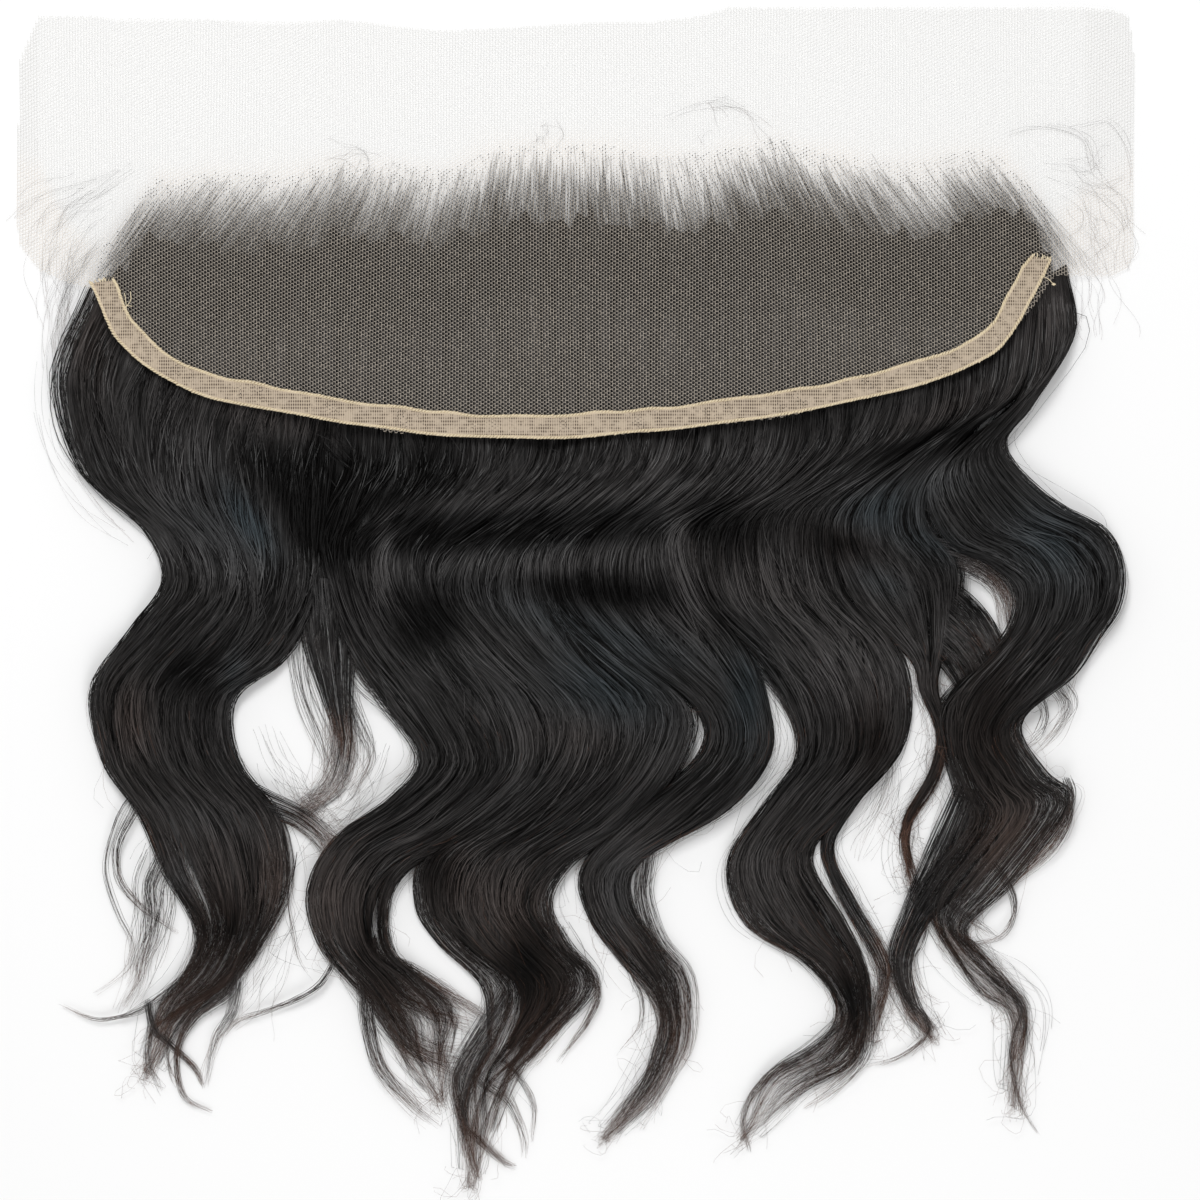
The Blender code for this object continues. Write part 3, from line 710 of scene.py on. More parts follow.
def hair_material(name, across_scale, relief_height, cover=1):
    """Black, towards a painted sheen by the tone attribute, which holds the painted sheen and painted
    shade, and by streaks of the hair's own number. The painted sheen is grey, cool by the attribute, or
    brown by the way along the hair and in slow patches."""
    material, shader, tree = new_material(name, HAIR_BLACK, HAIR_ROUGHNESS)
    shader.inputs["IOR"].default_value = HAIR_IOR
    shader.inputs["Alpha"].default_value = cover
    place = new_node(tree, "TexCoord").outputs["Object"]
    run = new_node(tree, "UVMap", uv_map="run").outputs["UV"]
    along = axes_of(tree, run)["X"]
    tone = axes_of(tree, new_node(tree, "Attribute", attribute_name="tone").outputs["Vector"])
    stretch = {"Scale": (STREAKS_ALONG, across_scale, 1)}
    stretched = new_node(tree, "Mapping", stretch, {"Vector": run}).outputs["Vector"]
    streaks = noise(tree, stretched, 1, *STREAK_DETAIL)
    contrast = ramp(tree, streaks, STREAK_START, STREAK_END, STREAK_GAIN)
    strength = worked(tree, "MULTIPLY", contrast, tone["X"], clamp=True)
    patches, tipward = noise(tree, place, *BROWN_PATCHES), ramp(tree, along, TIP_START, TIP_END)
    browning = worked(tree, "MULTIPLY_ADD", patches, BROWN_PATCH_SHARE, tipward)
    browning = worked(tree, "ADD", browning, tone["Z"], clamp=True)
    light = mixed(tree, browning, mixed(tree, tone["Y"], HAIR_SHEEN, HAIR_COOL_SHEEN), HAIR_BROWN)
    light = mixed(tree, ramp(tree, along, SINGLE_START, SINGLE_END), light, HAIR_TIP)
    tree.links.new(mixed(tree, strength, HAIR_BLACK, light), shader.inputs["Base Color"])
    if relief_height:
        relief = new_node(tree, "Bump", {"Distance": relief_height * MM}, {"Height": streaks})
        tree.links.new(relief.outputs["Normal"], shader.inputs["Normal"])
    return material


strand_material = hair_material("dark_hair_strands", STRAND_STREAKS, 0)
mass_material = hair_material("dark_hair_mass", MASS_STREAKS, MASS_RELIEF)

# The bed: the roots of the hair under the net, combed back from the hairline to the tape. Seen through
# the net it is a dark grey sheet that thins out to single hairs at the hairline.
BED_LEFT = STATIONS[4, 0] + 1  # the two stations are the ends of the knotted hair
BED_RIGHT = STATIONS[30, 0] - 1
BED_COLUMNS = 130
BED_ROWS = 26
BED_SETBACK = 26.0  # the close hair starts this far behind the hairline
BED_STOP = 1.5  # and ends this far in front of the tape's back edge
BED_LEAST_DEPTH = 3.0
BED_NEARER = 0.55  # it starts nearer to the hairline by this share at the sides,
BED_NEARER_START = 130.0  # which begin this far out, and have it in full after this run
BED_NEARER_RUN = 30.0
BED_TUFT = 3.0  # its front is ragged by tufts, from two sine waves with these runs for each radian,
BED_TUFT_RUNS = (2.3, 7.0)
BED_FINE_TUFT = 2.0  # and by finer ones
BED_FINE_TUFT_RUN = 0.9
BED_NOSE = 5  # it has its full height after one part in this many of its depth
BED_SINK = 0.3  # the close hair lies this far under the bed's own height
MASS_FLOOR = 0.05  # and no close mass of hair lies lower than this
# For each kind of root: how many, the shares of its length at its steps, its widths there, how far its
# neighbours lean together, and how much it hides of what is behind it. The tufts stand for hairs that are
# too fine to be drawn.
ROOTS = {
    "hair_roots": (9800, (0, 0.3, 0.65, 1), (0.16, 0.13, 0.12, 0.08), 0.32, 0.6),
    "hair_tufts": (11000, (0, 0.4, 1), (0.12, 0.56, 0.2), 0.12, 0.23),
}
ROOT_LENGTHS = (8.0, 26.0)
ROOT_START = 1.0  # they start this far in front of the hairline, at the most
ROOT_SPREAD = 2.0  # and their starts are ragged by a bell curve one millimetre wide, cut off at this
ROOT_RISES = (0.0, 0.3)  # how far they lie over the lowest of them, which are this far in the bed
ROOT_SINK = 0.2
ROOT_FLOOR = 0.1
ROOT_LEAN_LIMIT = 0.95
ROOT_LEAN_SPREAD = 0.3
ROOT_BOW = 0.2
ROOT_BACK_GAP = 0.5  # they end this far in front of the back edge, and this far behind the hairline
ROOT_FRONT_GAP = 2.0
CLUMP_LEAN = 0.13  # how far neighbours lean together, by a sine wave with this run for each radian,
CLUMP_RUN = 2.7
FINE_CLUMP_LEAN = 0.1  # and by a finer one, which turns with their depth behind the hairline
FINE_CLUMP_RUN = 1.1
FINE_CLUMP_DEPTH = 9.0
HAIRLINE_WAVE = 0.8  # the knots' edge waves by this
HAIRLINE_WAVE_RUN = 5.0
KNOT_SIZE = 0.4
KNOT_WIDTH_SHARE = 0.8
KNOT_TURN = 0.6  # radians, how far it is turned from the net's long threads
KNOT_TAPE_GAP = 2.0
KNOT_RISE = 0.12  # it stands this far out of the net
KNOT_SHARES = (0.45, 0.85)  # how many of the net's crossings hold a knot at the hairline, and further back
KNOT_RUN = 16.0  # where they are as many as further back
ROOT_DEPTH = 41.0  # how far behind the hairline the short roots still start
ROOT_THIN_SPOTS = ((36, 8), (116, 11))  # where fewer start: X and half the width
ROOT_THIN_DEPTH = 20.0  # as far behind the hairline as this
ROOT_THIN_SHARE = 0.45
ROOT_LEAN = 0.75  # how far they lean sideways, for each millimetre back, this far from the middle
ROOT_LEAN_AT = 120.0
TWIST_TURN = 0.95  # radians: a hair's ribbon rolls to and fro by this, in so many turns from root to tip
TWIST_TURNS = (0.5, 3.0)
BED_RUN_START = 150.0  # the bed's way from root to tip counts from this Y, over this length
BED_RUN_LENGTH = 400.0


def bed_shape():
    """A section of the bed for each column, from front to back over the top and back along the table."""
    x = np.linspace(BED_LEFT, BED_RIGHT, BED_COLUMNS)[:, None]
    back = back_edge(x) + BED_STOP
    ragged = BED_TUFT * np.sin(x / BED_TUFT_RUNS[0]) * np.sin(x / BED_TUFT_RUNS[1] + 1)
    ragged = ragged + BED_FINE_TUFT * np.sin(x / BED_FINE_TUFT_RUN + 1)
    side = np.clip((abs(x) - BED_NEARER_START) / BED_NEARER_RUN, 0, 1)
    front = hairline(x) - BED_SETBACK * (1 - BED_NEARER * side) + ragged
    front = np.maximum(front, back + BED_LEAST_DEPTH)
    share = np.linspace(0, 1, BED_ROWS)[None]
    y = front * (1 - share) + back * share
    rise = np.sin(np.minimum(share * BED_NOSE, 1) * math.pi / 2)
    top = np.stack([x + 0 * y, y, bed_height(x, y) * rise - BED_SINK + 0 * y], axis=-1)
    top[..., 2] = np.maximum(top[..., 2], MASS_FLOOR)
    under = top[:, [-1, 0]] * (1, 1, 0)
    return closed_loft(np.concatenate([top, under], axis=1))


def hairline_wave(x):
    """How far the knots' edge waves in front of the hairline, by a sine of X."""
    return HAIRLINE_WAVE * np.sin(x / HAIRLINE_WAVE_RUN)


def root_hairs(count, shares, clumping, rng):
    """Short hairs, each knotted round the net where a link meets a long thread, combed back and leaning
    away from the middle, just over the bed. There are fewer near the hairline than behind it."""
    columns, links_from = thread_columns()
    column = rng.choice(np.flatnonzero((columns > BED_LEFT) & (columns < BED_RIGHT)), count)
    x = columns[column]
    depth = rng.random(count) ** 0.5 * ROOT_DEPTH
    ragged = hairline_wave(x) + np.clip(rng.normal(0, 1, count), -ROOT_SPREAD, ROOT_SPREAD)
    knot_y = hairline(x) + ROOT_START - depth + ragged
    knot_y = links_from[column] + LINK_PITCH * np.round((knot_y - links_from[column]) / LINK_PITCH)
    length = rng.uniform(*ROOT_LENGTHS, count)
    fine_clump = FINE_CLUMP_LEAN * np.sin(x / FINE_CLUMP_RUN + depth / FINE_CLUMP_DEPTH)
    clump = clumping * (CLUMP_LEAN * np.sin(x / CLUMP_RUN) + fine_clump)
    lean = ROOT_LEAN * np.clip(x / ROOT_LEAN_AT, -ROOT_LEAN_LIMIT, ROOT_LEAN_LIMIT) + clump
    lean = lean + rng.normal(0, ROOT_LEAN_SPREAD * clumping, count)
    share = np.array(shares)[None]
    bow = rng.normal(0, ROOT_BOW * clumping, (count, 1)) * share ** 2
    y = knot_y[:, None] - length[:, None] * share
    far_x = net_strayed(x, knot_y)[:, None] + length[:, None] * (lean[:, None] * share + bow)
    up = bed_height(far_x, y) - ROOT_SINK + rng.uniform(*ROOT_RISES, (count, 1))
    keep = y[:, -1] > back_edge(far_x[:, -1]) + ROOT_BACK_GAP
    keep &= y[:, -1] < hairline(far_x[:, -1]) - ROOT_FRONT_GAP
    for spot_x, half_width in ROOT_THIN_SPOTS:
        outside = (abs(x - spot_x) > half_width) | (depth > ROOT_THIN_DEPTH)
        keep &= outside | (rng.random(count) < ROOT_THIN_SHARE)
    return np.stack([far_x, y, np.maximum(up, ROOT_FLOOR)], axis=-1)[keep]


def hair_knots(rng):
    """A small dark lump across the net where a link meets a long thread, from the hairline to the tape."""
    x, links_from = thread_columns()
    x, y = np.meshgrid(x, np.arange(0, STATIONS[:, 2].max() - LACE_BACK, LINK_PITCH), indexing="ij")
    y += links_from[:, None]
    depth = hairline(x) + hairline_wave(x) - y
    likely = KNOT_SHARES[0] + (KNOT_SHARES[1] - KNOT_SHARES[0]) * np.clip(depth / KNOT_RUN, 0, 1)
    keep = (depth > 0) & (y > back_edge(x) + KNOT_TAPE_GAP) & (rng.random(x.shape) < likely)
    keep &= (x > BED_LEFT) & (x < BED_RIGHT)
    middle = on_lace(x[keep], y[keep]) + (0, 0, KNOT_RISE)
    angle = rng.normal(0, KNOT_TURN, len(middle))
    half = KNOT_SIZE / 2 * np.stack([np.sin(angle), np.cos(angle), 0 * angle], axis=-1)
    return np.stack([middle + half, middle - half], axis=1)


def strand_piece(name, centres, widths, rng, along, own, lift=0, material=strand_material):
    """Hairs as flat ribbons, each rolled at random and twisting slowly along itself, by the sine of its
    turns. The way along each and its own number make the UV map, their tone attribute holds the painted
    sheen and painted shade at their places, and the lift adds to that painted sheen, which makes all of
    them lighter."""
    count, steps = centres.shape[:2]
    share = np.linspace(0, 1, steps)[None]
    phase, turns = rng.uniform(0, math.tau, (count, 1)), rng.uniform(*TWIST_TURNS, (count, 1))
    rolls = TWIST_TURN * np.sin(phase + turns * share * math.tau)
    places, faces = ribbon_grid(centres, np.broadcast_to(widths, (count, steps)), rolls)
    pair = np.stack([np.broadcast_to(along, (count, steps)), np.broadcast_to(own, (count, steps))], axis=-1)
    uv = np.repeat(pair.reshape(-1, 2), 2, axis=0)
    return new_piece(name, places, faces, material, "hair", uv, painted_sheen_shade_and_brown(places) + (lift, 0, 0))


bed_places, bed_faces = bed_shape()
bed_along = (BED_RUN_START - bed_places[:, 1]) / BED_RUN_LENGTH
bed_uv = np.stack([bed_along, bed_places[:, 0] / STREAK_WIDTH], axis=-1)
# The bed's tone holds the painted sheen and painted shade of the ellipses, and their brown.
bed_sheen_shade_and_brown = painted_sheen_shade_and_brown(bed_places)
hair_bed = new_piece("hair_bed", bed_places, bed_faces, mass_material, "hair", bed_uv, bed_sheen_shade_and_brown)
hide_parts("hair")
root_rng = np.random.default_rng(11)
for root_name, (root_count, root_shares, root_widths, clumping, root_cover) in ROOTS.items():
    roots = root_hairs(root_count, root_shares, clumping, root_rng)
    root_material = hair_material("dark_" + root_name, STRAND_STREAKS, 0, root_cover)
    root_own = root_rng.random((len(roots), 1))
    strand_piece(root_name, roots, root_widths, root_rng, 0, root_own, 0, root_material)
knots = hair_knots(root_rng)
knot_own = root_rng.random((len(knots), 1))
strand_piece("hair_knots", knots, KNOT_SIZE * KNOT_WIDTH_SHARE, root_rng, 0, knot_own)

# The locks: the long hair, knotted into the lace and parted below the tape into waved locks. Each lock
# is a close mass with combed hairs over it, which gather in finer locks and thin out to the tips.
LOCK_CORNER = 2.5  # exponent of a lock's rounded section, where 2 is an ellipse
LOCK_BELLY = 0.3  # the widest level of a section, as a share of its height
LOCK_DROP = 1.1  # hair leaves the lace this far below the bed's surface
LOCK_FLOOR = 0.3  # how low a lock's own top may come
HAIR_FLOOR = 0.2  # and its hairs
SWELL_START = 14.0  # behind the tape it may swell up from this far on, by so much for each millimetre
SWELL_SLOPE = 1.0
STRANDS_PER_MM = 12.5  # of a lock's greatest width
UNDER_STRANDS_PER_MM = 1.1  # where other locks hide it
STEPS_PER_ROW = 3.0
STRAND_WIDTH = 0.25
TIP_WIDTH = 0.07
TAPER_SHARE = 0.3  # a hair narrows over this last share of its length
FRAY_THINNER = 0.3  # and it is this much thinner where the lock frays,
STRAY_THINNER = 0.4  # and this much where it strays over the others
MASS_SHARE = 0.78  # how much of the way to the tip the close mass goes
OTHER_SHARES = {"centre_left": 0.88, "left": 0.82, "far_right": 0.7}  # and where it isn't that
MASS_SINK = 2.0  # how far it lies under the top of its lock
MASS_DEPTH = 0.9  # the level in the lock that it is taken from
MASS_ANGLES = np.radians(np.arange(0, 181, 15))
MASS_INSET = 0.94  # its width as a share of the lock's, and what it loses of that near its end
MASS_NARROWING = 0.84
MASS_NARROW_START = 0.7
MASS_NARROW_RUN = 0.3
MASS_NARROW_POWER = 1.3
MASS_RUN_START = 60.0  # its way from root to tip counts from this Y, over this length
MASS_RUN_LENGTH = 300.0
# These have no close mass, and this share of the hairs that others have for their width.
THIN_LOCKS = {
    "left_bridge": 0.7, "left_wisp": 1.3, "right_thin": 0.55, "right_bridge": 1.1, "right_curl": 0.8,
}
FINE_LOCK_WIDTH = 3.6  # each lock is made of finer ones about this wide
FINE_LOCKS_LEAST = 3
FINE_LACK = 0.14  # the shortest of them lacks this share of its length
FINE_LACK_POWER = 1.5
FINE_SPREAD = 0.55  # its hairs lie round its middle by a bell curve this wide,
FINE_WIDE = 2.6  # taken so many times where the lock isn't frayed,
FINE_DRAWN = 1.5  # and so much less at its frayed end
FINE_BULGE = 0.6  # and how much higher its middle is than its sides
TOP_SINK = 0.5  # the hairs lie this far under the lock's own top
FRAY_START = 0.66  # the way down a lock where its finer locks start to part
FRAY_POWER = 1.6  # and by which power of the way from there they do
SIDE_LIMIT = 1.05  # a hair strays from the lock's middle by this share of half its width at the most,
SIDE_FRAY_LIMIT = 1.5  # and by so many millimetres more at its frayed end
STRAY_SHARE = 0.065  # how many hairs stray over the others, and how far over them they lie
STRAY_RISE = 0.5
DEEPEST = 0.75  # how deep in the lock its deepest hairs lie, as a share of its height
DEPTH_POWER = 2.2  # a power of a random number, which leaves most hairs near the top
CEILING_EXTRA = 0.1  # a hair may lie this far over the ceiling of its lock
OWN_SPREAD = 0.5  # a hair takes its streak from a place off its own by a bell curve this wide
# For each slow wave of the hairs: how many rows its longest part takes, and how far it goes.
FINE_WANDER = (9, 0.09)  # of the finer locks across the lock, as a share of half its width
HAIR_WANDER = (8, 0.02)  # of single hairs in the same way
STRAY_WANDER = (7, 0.15)  # and of stray ones
FINE_FRAY = (4.5, 2.6)  # of the finer locks where they fray, in millimetres
HAIR_FRAY = (3.5, 0.9)  # and of single hairs there
LAYER_RISE = (7, 0.35)  # up and down, of so many finer locks together
LAYER_LOCKS = 3
HAIR_RISE = (5, 0.1)  # and of single hairs
ROLL_SHIFT = (1, 0.3)  # of the phase of their rise and fall with the waves, in radians
# How a lock thins out: how much shorter than the lock its shortest hair is, as a share, and a power of a
# random number that is high where most hairs are long.
LOCK_ENDS = {
    "left_bridge": (0.75, 1), "left_wisp": (0.9, 0.4), "right_thin": (0.75, 1), "right_curl": (0.75, 1),
    "left": (0.38, 1.3), "centre_right": (0.42, 1), "right": (0.42, 1), "far_left": (0.4, 1.2),
    "right_bridge": (0.5, 1), "far_right": (0.48, 1.1),
}
USUAL_END = (0.36, 2.2)
ROLL_LENGTH = 34.5  # the hair rises and falls with its waves: from one crest to the next
ROLL_HEIGHT = 1.4
ROLL_TIP_LESS = 0.5  # this share of it is lost on the way to the tip
ROLL_START_Y = 8.6  # where it rises fastest, going towards the tips
ROLL_EARLY = 0.4  # and how much earlier or later, in radians, in one lock than in another
FIRST_LOCK_SEED = 100  # the first lock draws its random numbers from this, and each next one from one more
# A row for each section of a lock, from root to tip: the X and Y of its left edge and of its right
# edge, and how thick it is there. The roots of the middle locks start well to the right of them, and
# sweep to the left in the first wave.
LOCKS = {
    "under_layer": (
        (-165, 100, 164, 103, 4), (-176, 79, 168, 85, 6.5), (-174, 55, 147, 55, 7),
        (-162, 34, 147, 38, 7), (-145, 16, 150, 24, 7), (-139, 3, 122, 5, 7), (-136, -5, 98, -5, 5),
    ),
    "far_left": (
        (-166.5, 104, -79, 64, 9), (-178, 74, -82, 41, 11), (-170, 42, -85, 21, 12),
        (-148, 21, -87, 3, 12), (-141, 3, -92, -11, 12), (-152, -13, -102, -25, 11),
        (-166, -34, -118, -38, 11), (-162, -59, -116, -59, 11), (-150, -77, -102, -78, 10),
        (-141, -98, -98, -99, 9), (-131, -116, -104, -117, 7), (-135, -132, -116, -134, 5.5),
        (-143, -144, -134, -148, 4), (-148, -162, -145, -164, 2),
    ),
    "left_bridge": (
        (-122, -70, -119, -62, 6), (-110, -77, -106, -69, 6.5), (-98, -81, -94, -75, 6),
        (-89, -88, -85, -82, 6), (-85, -95, -78, -90, 6),
    ),
    "left_wisp": (
        (-96, 5, -77, 3, 9), (-94, -17, -76, -19, 6.5), (-87, -38, -77, -39, 4.5),
        (-83, -53, -77, -55, 3.5), (-87, -67, -81, -69, 3), (-95, -74, -92, -77, 2),
    ),
    "left": (
        (-78, 63, -5, 59, 9), (-79, 43, -9, 41, 12), (-86, 28, -26, 26, 12.5), (-89, 16, -43, 12, 13.5),
        (-85, -1, -43, -3, 12.5), (-78, -21, -29, -21, 12), (-66, -40, -12, -38, 12),
        (-54, -58, -10, -62, 12), (-64, -72, -36, -85, 11), (-83, -86, -56, -95, 10),
        (-92, -104, -64, -107, 10), (-88, -122, -63, -124, 9), (-77, -136, -52, -134, 7.5),
        (-66, -151, -42, -145, 6), (-58, -164, -44, -159, 4), (-49, -175, -45, -172, 2),
    ),
    "centre_left": (
        (-7, 59, 40, 61, 9), (-10, 41, 36, 44, 12), (-27, 26, 22, 30, 12.5), (-45, 12, 4, 16, 13.5),
        (-50, -3, 4, -3, 13), (-36, -21, 18, -21, 12.5), (-19, -40, 40, -40, 12.5),
        (-17, -60, 36, -61, 12), (-33, -78, 20, -80, 11.5), (-52, -92, -1, -94, 11),
        (-54, -109, -9, -108, 10), (-46, -122, -3, -121, 9), (-31, -137, 7, -136, 7.5),
        (-31, -155, -10, -155, 5.5), (-39, -172, -23, -172, 4), (-38, -200, -33, -201, 2),
    ),
    "centre_right": (
        (38, 61, 76, 66, 9), (35, 44, 73, 48, 12), (20, 30, 63, 34, 12.5), (3, 16, 43, 20, 13.5),
        (0, -3, 47, -2, 13), (16, -21, 59, -19, 12.5), (42, -41, 66, -38, 12.5),
        (42, -58, 67, -57, 11.5), (16, -80, 52, -76, 11), (2, -97, 22, -94, 9),
        (5, -113, 20, -109, 8), (15, -127, 29, -123, 7), (26, -140, 36, -138, 6),
        (29, -155, 36, -155, 5), (21, -173, 28, -174, 3.5), (11, -186, 14, -187, 2),
    ),
    "right": (
        (74, 66, 135, 82, 9), (72, 48, 130, 59, 12), (61, 34, 112, 44, 12.5), (42, 20, 91, 27, 13.5),
        (44, -3, 94, 1, 13), (60, -22, 109, -17, 12.5), (73, -40, 115, -34, 12.5),
        (77, -57, 112, -55, 11.5), (66, -73, 95, -75, 10), (53, -94, 81, -92, 9),
        (59, -115, 92, -113, 8.5), (80, -129, 100, -130, 7.5), (91, -145, 101, -148, 6),
        (83, -158, 96, -163, 5), (67, -168, 78, -173, 3.5), (59, -186, 61, -187, 2),
    ),
    "right_thin": (
        (95, -62, 114, -52, 8), (87, -80, 95, -77, 5.5), (85, -92, 89, -90, 5),
        (92, -108, 96, -106, 5), (102, -126, 107, -125, 4.5), (105, -136, 108, -136, 4),
        (101, -152, 103, -152, 2),
    ),
    "inner_right": (
        (131, 81, 160, 103, 8), (129, 59, 155, 71, 11), (110, 44, 137, 55, 12), (89, 28, 123, 37, 12.5),
        (87, 16, 122, 22, 12.5), (95, -3, 133, 8, 12), (109, -17, 130, -15, 10),
        (117, -26, 126, -26, 7), (119, -35, 125, -35, 5), (125, -50, 129, -49, 4),
        (122, -64, 125, -65, 3.5), (114, -79, 116, -80, 3), (113, -90, 114.5, -90, 2.5),
        (116, -103, 118, -102, 2),
    ),
    "right_bridge": (
        (100, -3, 118, 9, 9), (115, -17, 136, -2, 9), (128, -28, 147, -17, 8), (134, -41, 151, -36, 7),
        (130, -56, 149, -56, 6),
    ),
    "far_right": (
        (159, 106, 169, 112, 7), (153, 67, 172, 88, 10), (135, 52, 157, 63, 11.5),
        (120, 36, 148, 49, 12.5), (127, 16, 164, 31, 12.5), (141, 9, 182, 21, 12.5),
        (151, 0, 188.5, 8, 12.5), (150, -12, 187, -6, 12.5), (142, -22, 180, -17, 12),
        (126, -39, 171, -30, 11.5), (127, -55, 153, -46, 11), (131, -69, 162, -63, 10.5),
        (134, -82, 171, -73, 10), (117, -103, 152, -100, 8), (121, -112, 135, -116, 6),
        (129, -126, 140, -124, 5), (141, -139, 149, -134, 4.5), (150, -148, 156, -147, 3.5),
        (150, -173, 153, -174, 2),
    ),
    "right_curl": (
        (131, -67, 150, -72, 8), (121, -90, 141, -97, 7), (113, -110, 124, -112, 6),
        (108, -128, 116, -128, 5), (114, -145, 118, -143, 3.5), (121, -153, 123, -152, 2),
    ),
}


def hair_ceiling(x, y):
    """How high hair may reach: under the lace, less than the bed's height, and more with each step clear
    of the tape's back edge."""
    clear = np.maximum(back_edge(x) - y - SWELL_START, 0)
    return bed_height(x, y) - LOCK_DROP + SWELL_SLOPE * clear


def in_lock(rows, row, across, depth):
    """Places in a lock: at a row, across from -1 at its left edge to 1 at its right one, and at a depth
    from 0 at its belly to 1 on its rounded top, which is a superellipse. It stays under the lace."""
    section = along_table(rows, row)
    left, right, height = section[..., 0:2], section[..., 2:4], section[..., 4]
    flat = (left + right) / 2 + (right - left) / 2 * across[..., None]
    crown = (1 - np.minimum(abs(across), 1) ** LOCK_CORNER) ** (1 / LOCK_CORNER)
    up = height * (LOCK_BELLY + (1 - LOCK_BELLY) * crown * depth)
    up = np.minimum(up, hair_ceiling(flat[..., 0], flat[..., 1]))
    return np.concatenate([flat, np.maximum(up, LOCK_FLOOR)[..., None]], axis=-1)


def lock_mass(rows, share):
    """The close mass of a lock: rings a little inside its outline, at the cosines of even angles across
    it, which narrow to their end by a power of the share of the way there."""
    last = (len(rows) - 1) * share
    row = np.linspace(0, last, int(last * STEPS_PER_ROW) + 2)[:, None]
    narrowing = np.clip((row / last - MASS_NARROW_START) / MASS_NARROW_RUN, 0, 1) ** MASS_NARROW_POWER
    across = -np.cos(MASS_ANGLES)[None] * (MASS_INSET - MASS_NARROWING * narrowing)
    top = in_lock(rows, row + 0 * across, across, np.full(across.shape, MASS_DEPTH))
    top[..., 2] = np.maximum(top[..., 2] - MASS_SINK, HAIR_FLOOR)
    under = top[:, [-1, 0]] * (1, 1, 0) + (0, 0, MASS_FLOOR)
    return closed_loft(np.concatenate([top, under], axis=1)[:, ::-1])


def slow_waves(rng, count, place, span, size, group=slice(None)):
    """A smooth random curve for each hair or each group of hairs: three sine waves of falling length, with
    random phases."""
    phase = rng.uniform(0, math.tau, (3, count, 1))[:, group]
    waves = (np.sin(math.tau * place * (part + 1) / span + phase[part]) / (part + 1) for part in range(3))
    return size * sum(waves)


def hairs_across(fine, fine_count, row, fray, half_width, rng):
    """How far across their lock hairs lie, from -1 to 1, with the middle of the finer lock of each, how far
    off that middle it is, and whether it is a stray one."""
    count = len(fine)
    middle = (fine + 0.5)[:, None] / fine_count * 2 - 1
    wander = slow_waves(rng, fine_count, row, *FINE_WANDER, fine)
    off = rng.normal(0, FINE_SPREAD, (count, 1)) / fine_count
    across = middle + wander * (1 - middle ** 4) + off * (FINE_WIDE - FINE_DRAWN * fray)
    loose = slow_waves(rng, fine_count, row, *FINE_FRAY, fine) + slow_waves(rng, count, row, *HAIR_FRAY)
    across += slow_waves(rng, count, row, *HAIR_WANDER) + loose * fray ** FRAY_POWER / half_width
    stray = rng.random((count, 1)) < STRAY_SHARE
    across += stray * slow_waves(rng, count, row, *STRAY_WANDER)
    limit = SIDE_LIMIT + SIDE_FRAY_LIMIT * fray / half_width
    return np.clip(across, -limit, limit), middle, off, stray


def hairs_rise(y, fine, fine_count, off, row, last, rng):
    """How far hairs rise over where their lock's shape puts them. Each finer lock is rounded, by the square
    of the way off its middle, layers of them go slowly up and down, and all of them roll with the waves,
    by a sine of the distance down the piece."""
    bulge = FINE_BULGE * (1 - np.minimum(abs(off * fine_count), 1) ** 2)
    layer = slow_waves(rng, 1 + fine_count // LAYER_LOCKS, row, *LAYER_RISE, fine // LAYER_LOCKS)
    travel = math.tau * (ROLL_START_Y - y) / ROLL_LENGTH + rng.uniform(-ROLL_EARLY, ROLL_EARLY)
    travel = travel + slow_waves(rng, fine_count, 0, *ROLL_SHIFT, fine)
    roll = ROLL_HEIGHT * (1 - ROLL_TIP_LESS * row / last) * np.sin(travel)
    rise = np.maximum(bulge - TOP_SINK + roll + layer, LOCK_FLOOR - MASS_SINK)
    return rise + slow_waves(rng, len(fine), row, *HAIR_RISE)


def lock_hairs(rows, per_mm, shortest, power, rng):
    """The hairs of a lock. Each belongs to a finer lock, which wanders across the lock as it goes, and
    keeps its place in that finer lock. Towards the tips the finer locks draw together, part and end one
    by one. One hair in fifteen strays over the others. The shortest hair lacks the given share of the
    lock's length, and the power sets how many are nearly as short."""
    table = np.array(rows, float)
    row_widths = np.linalg.norm(table[:, 2:4] - table[:, 0:2], axis=1)
    width = row_widths.max()
    count, last = int(width * per_mm), len(rows) - 1
    fine_count = max(FINE_LOCKS_LEAST, int(width / FINE_LOCK_WIDTH))
    fine = rng.integers(0, fine_count, count)
    fine_end = 1 - FINE_LACK * rng.random((fine_count, 1)) ** FINE_LACK_POWER
    end = last * fine_end[fine] * (1 - shortest * rng.random((count, 1)) ** power)
    row = np.linspace(0, 1, int(last * STEPS_PER_ROW) + 2)[None] * end
    fray = np.clip((row / last - FRAY_START) / (1 - FRAY_START), 0, 1)
    half_width = np.interp(row, np.arange(last + 1), row_widths) / 2
    across, middle, off, stray = hairs_across(fine, fine_count, row, fray, half_width, rng)
    depth = 1 - DEEPEST * rng.random((count, 1)) ** DEPTH_POWER
    places = in_lock(rows, row, across, depth + 0 * row)
    places[..., 2] += hairs_rise(places[..., 1], fine, fine_count, off, row, last, rng)
    places[..., 2] += STRAY_RISE * stray
    ceiling = hair_ceiling(places[..., 0], places[..., 1]) + CEILING_EXTRA
    places[..., 2] = np.maximum(np.minimum(places[..., 2], ceiling), HAIR_FLOOR)
    taper = np.clip((1 - row / end) / TAPER_SHARE, 0, 1)
    full = (STRAND_WIDTH - TIP_WIDTH) * taper * (1 - STRAY_THINNER * stray) * (1 - FRAY_THINNER * fray)
    own = ((middle + off * 2) * width / 2 + rng.normal(0, OWN_SPREAD, (count, 1))) / STREAK_WIDTH
    return places, TIP_WIDTH + full, row / last, own


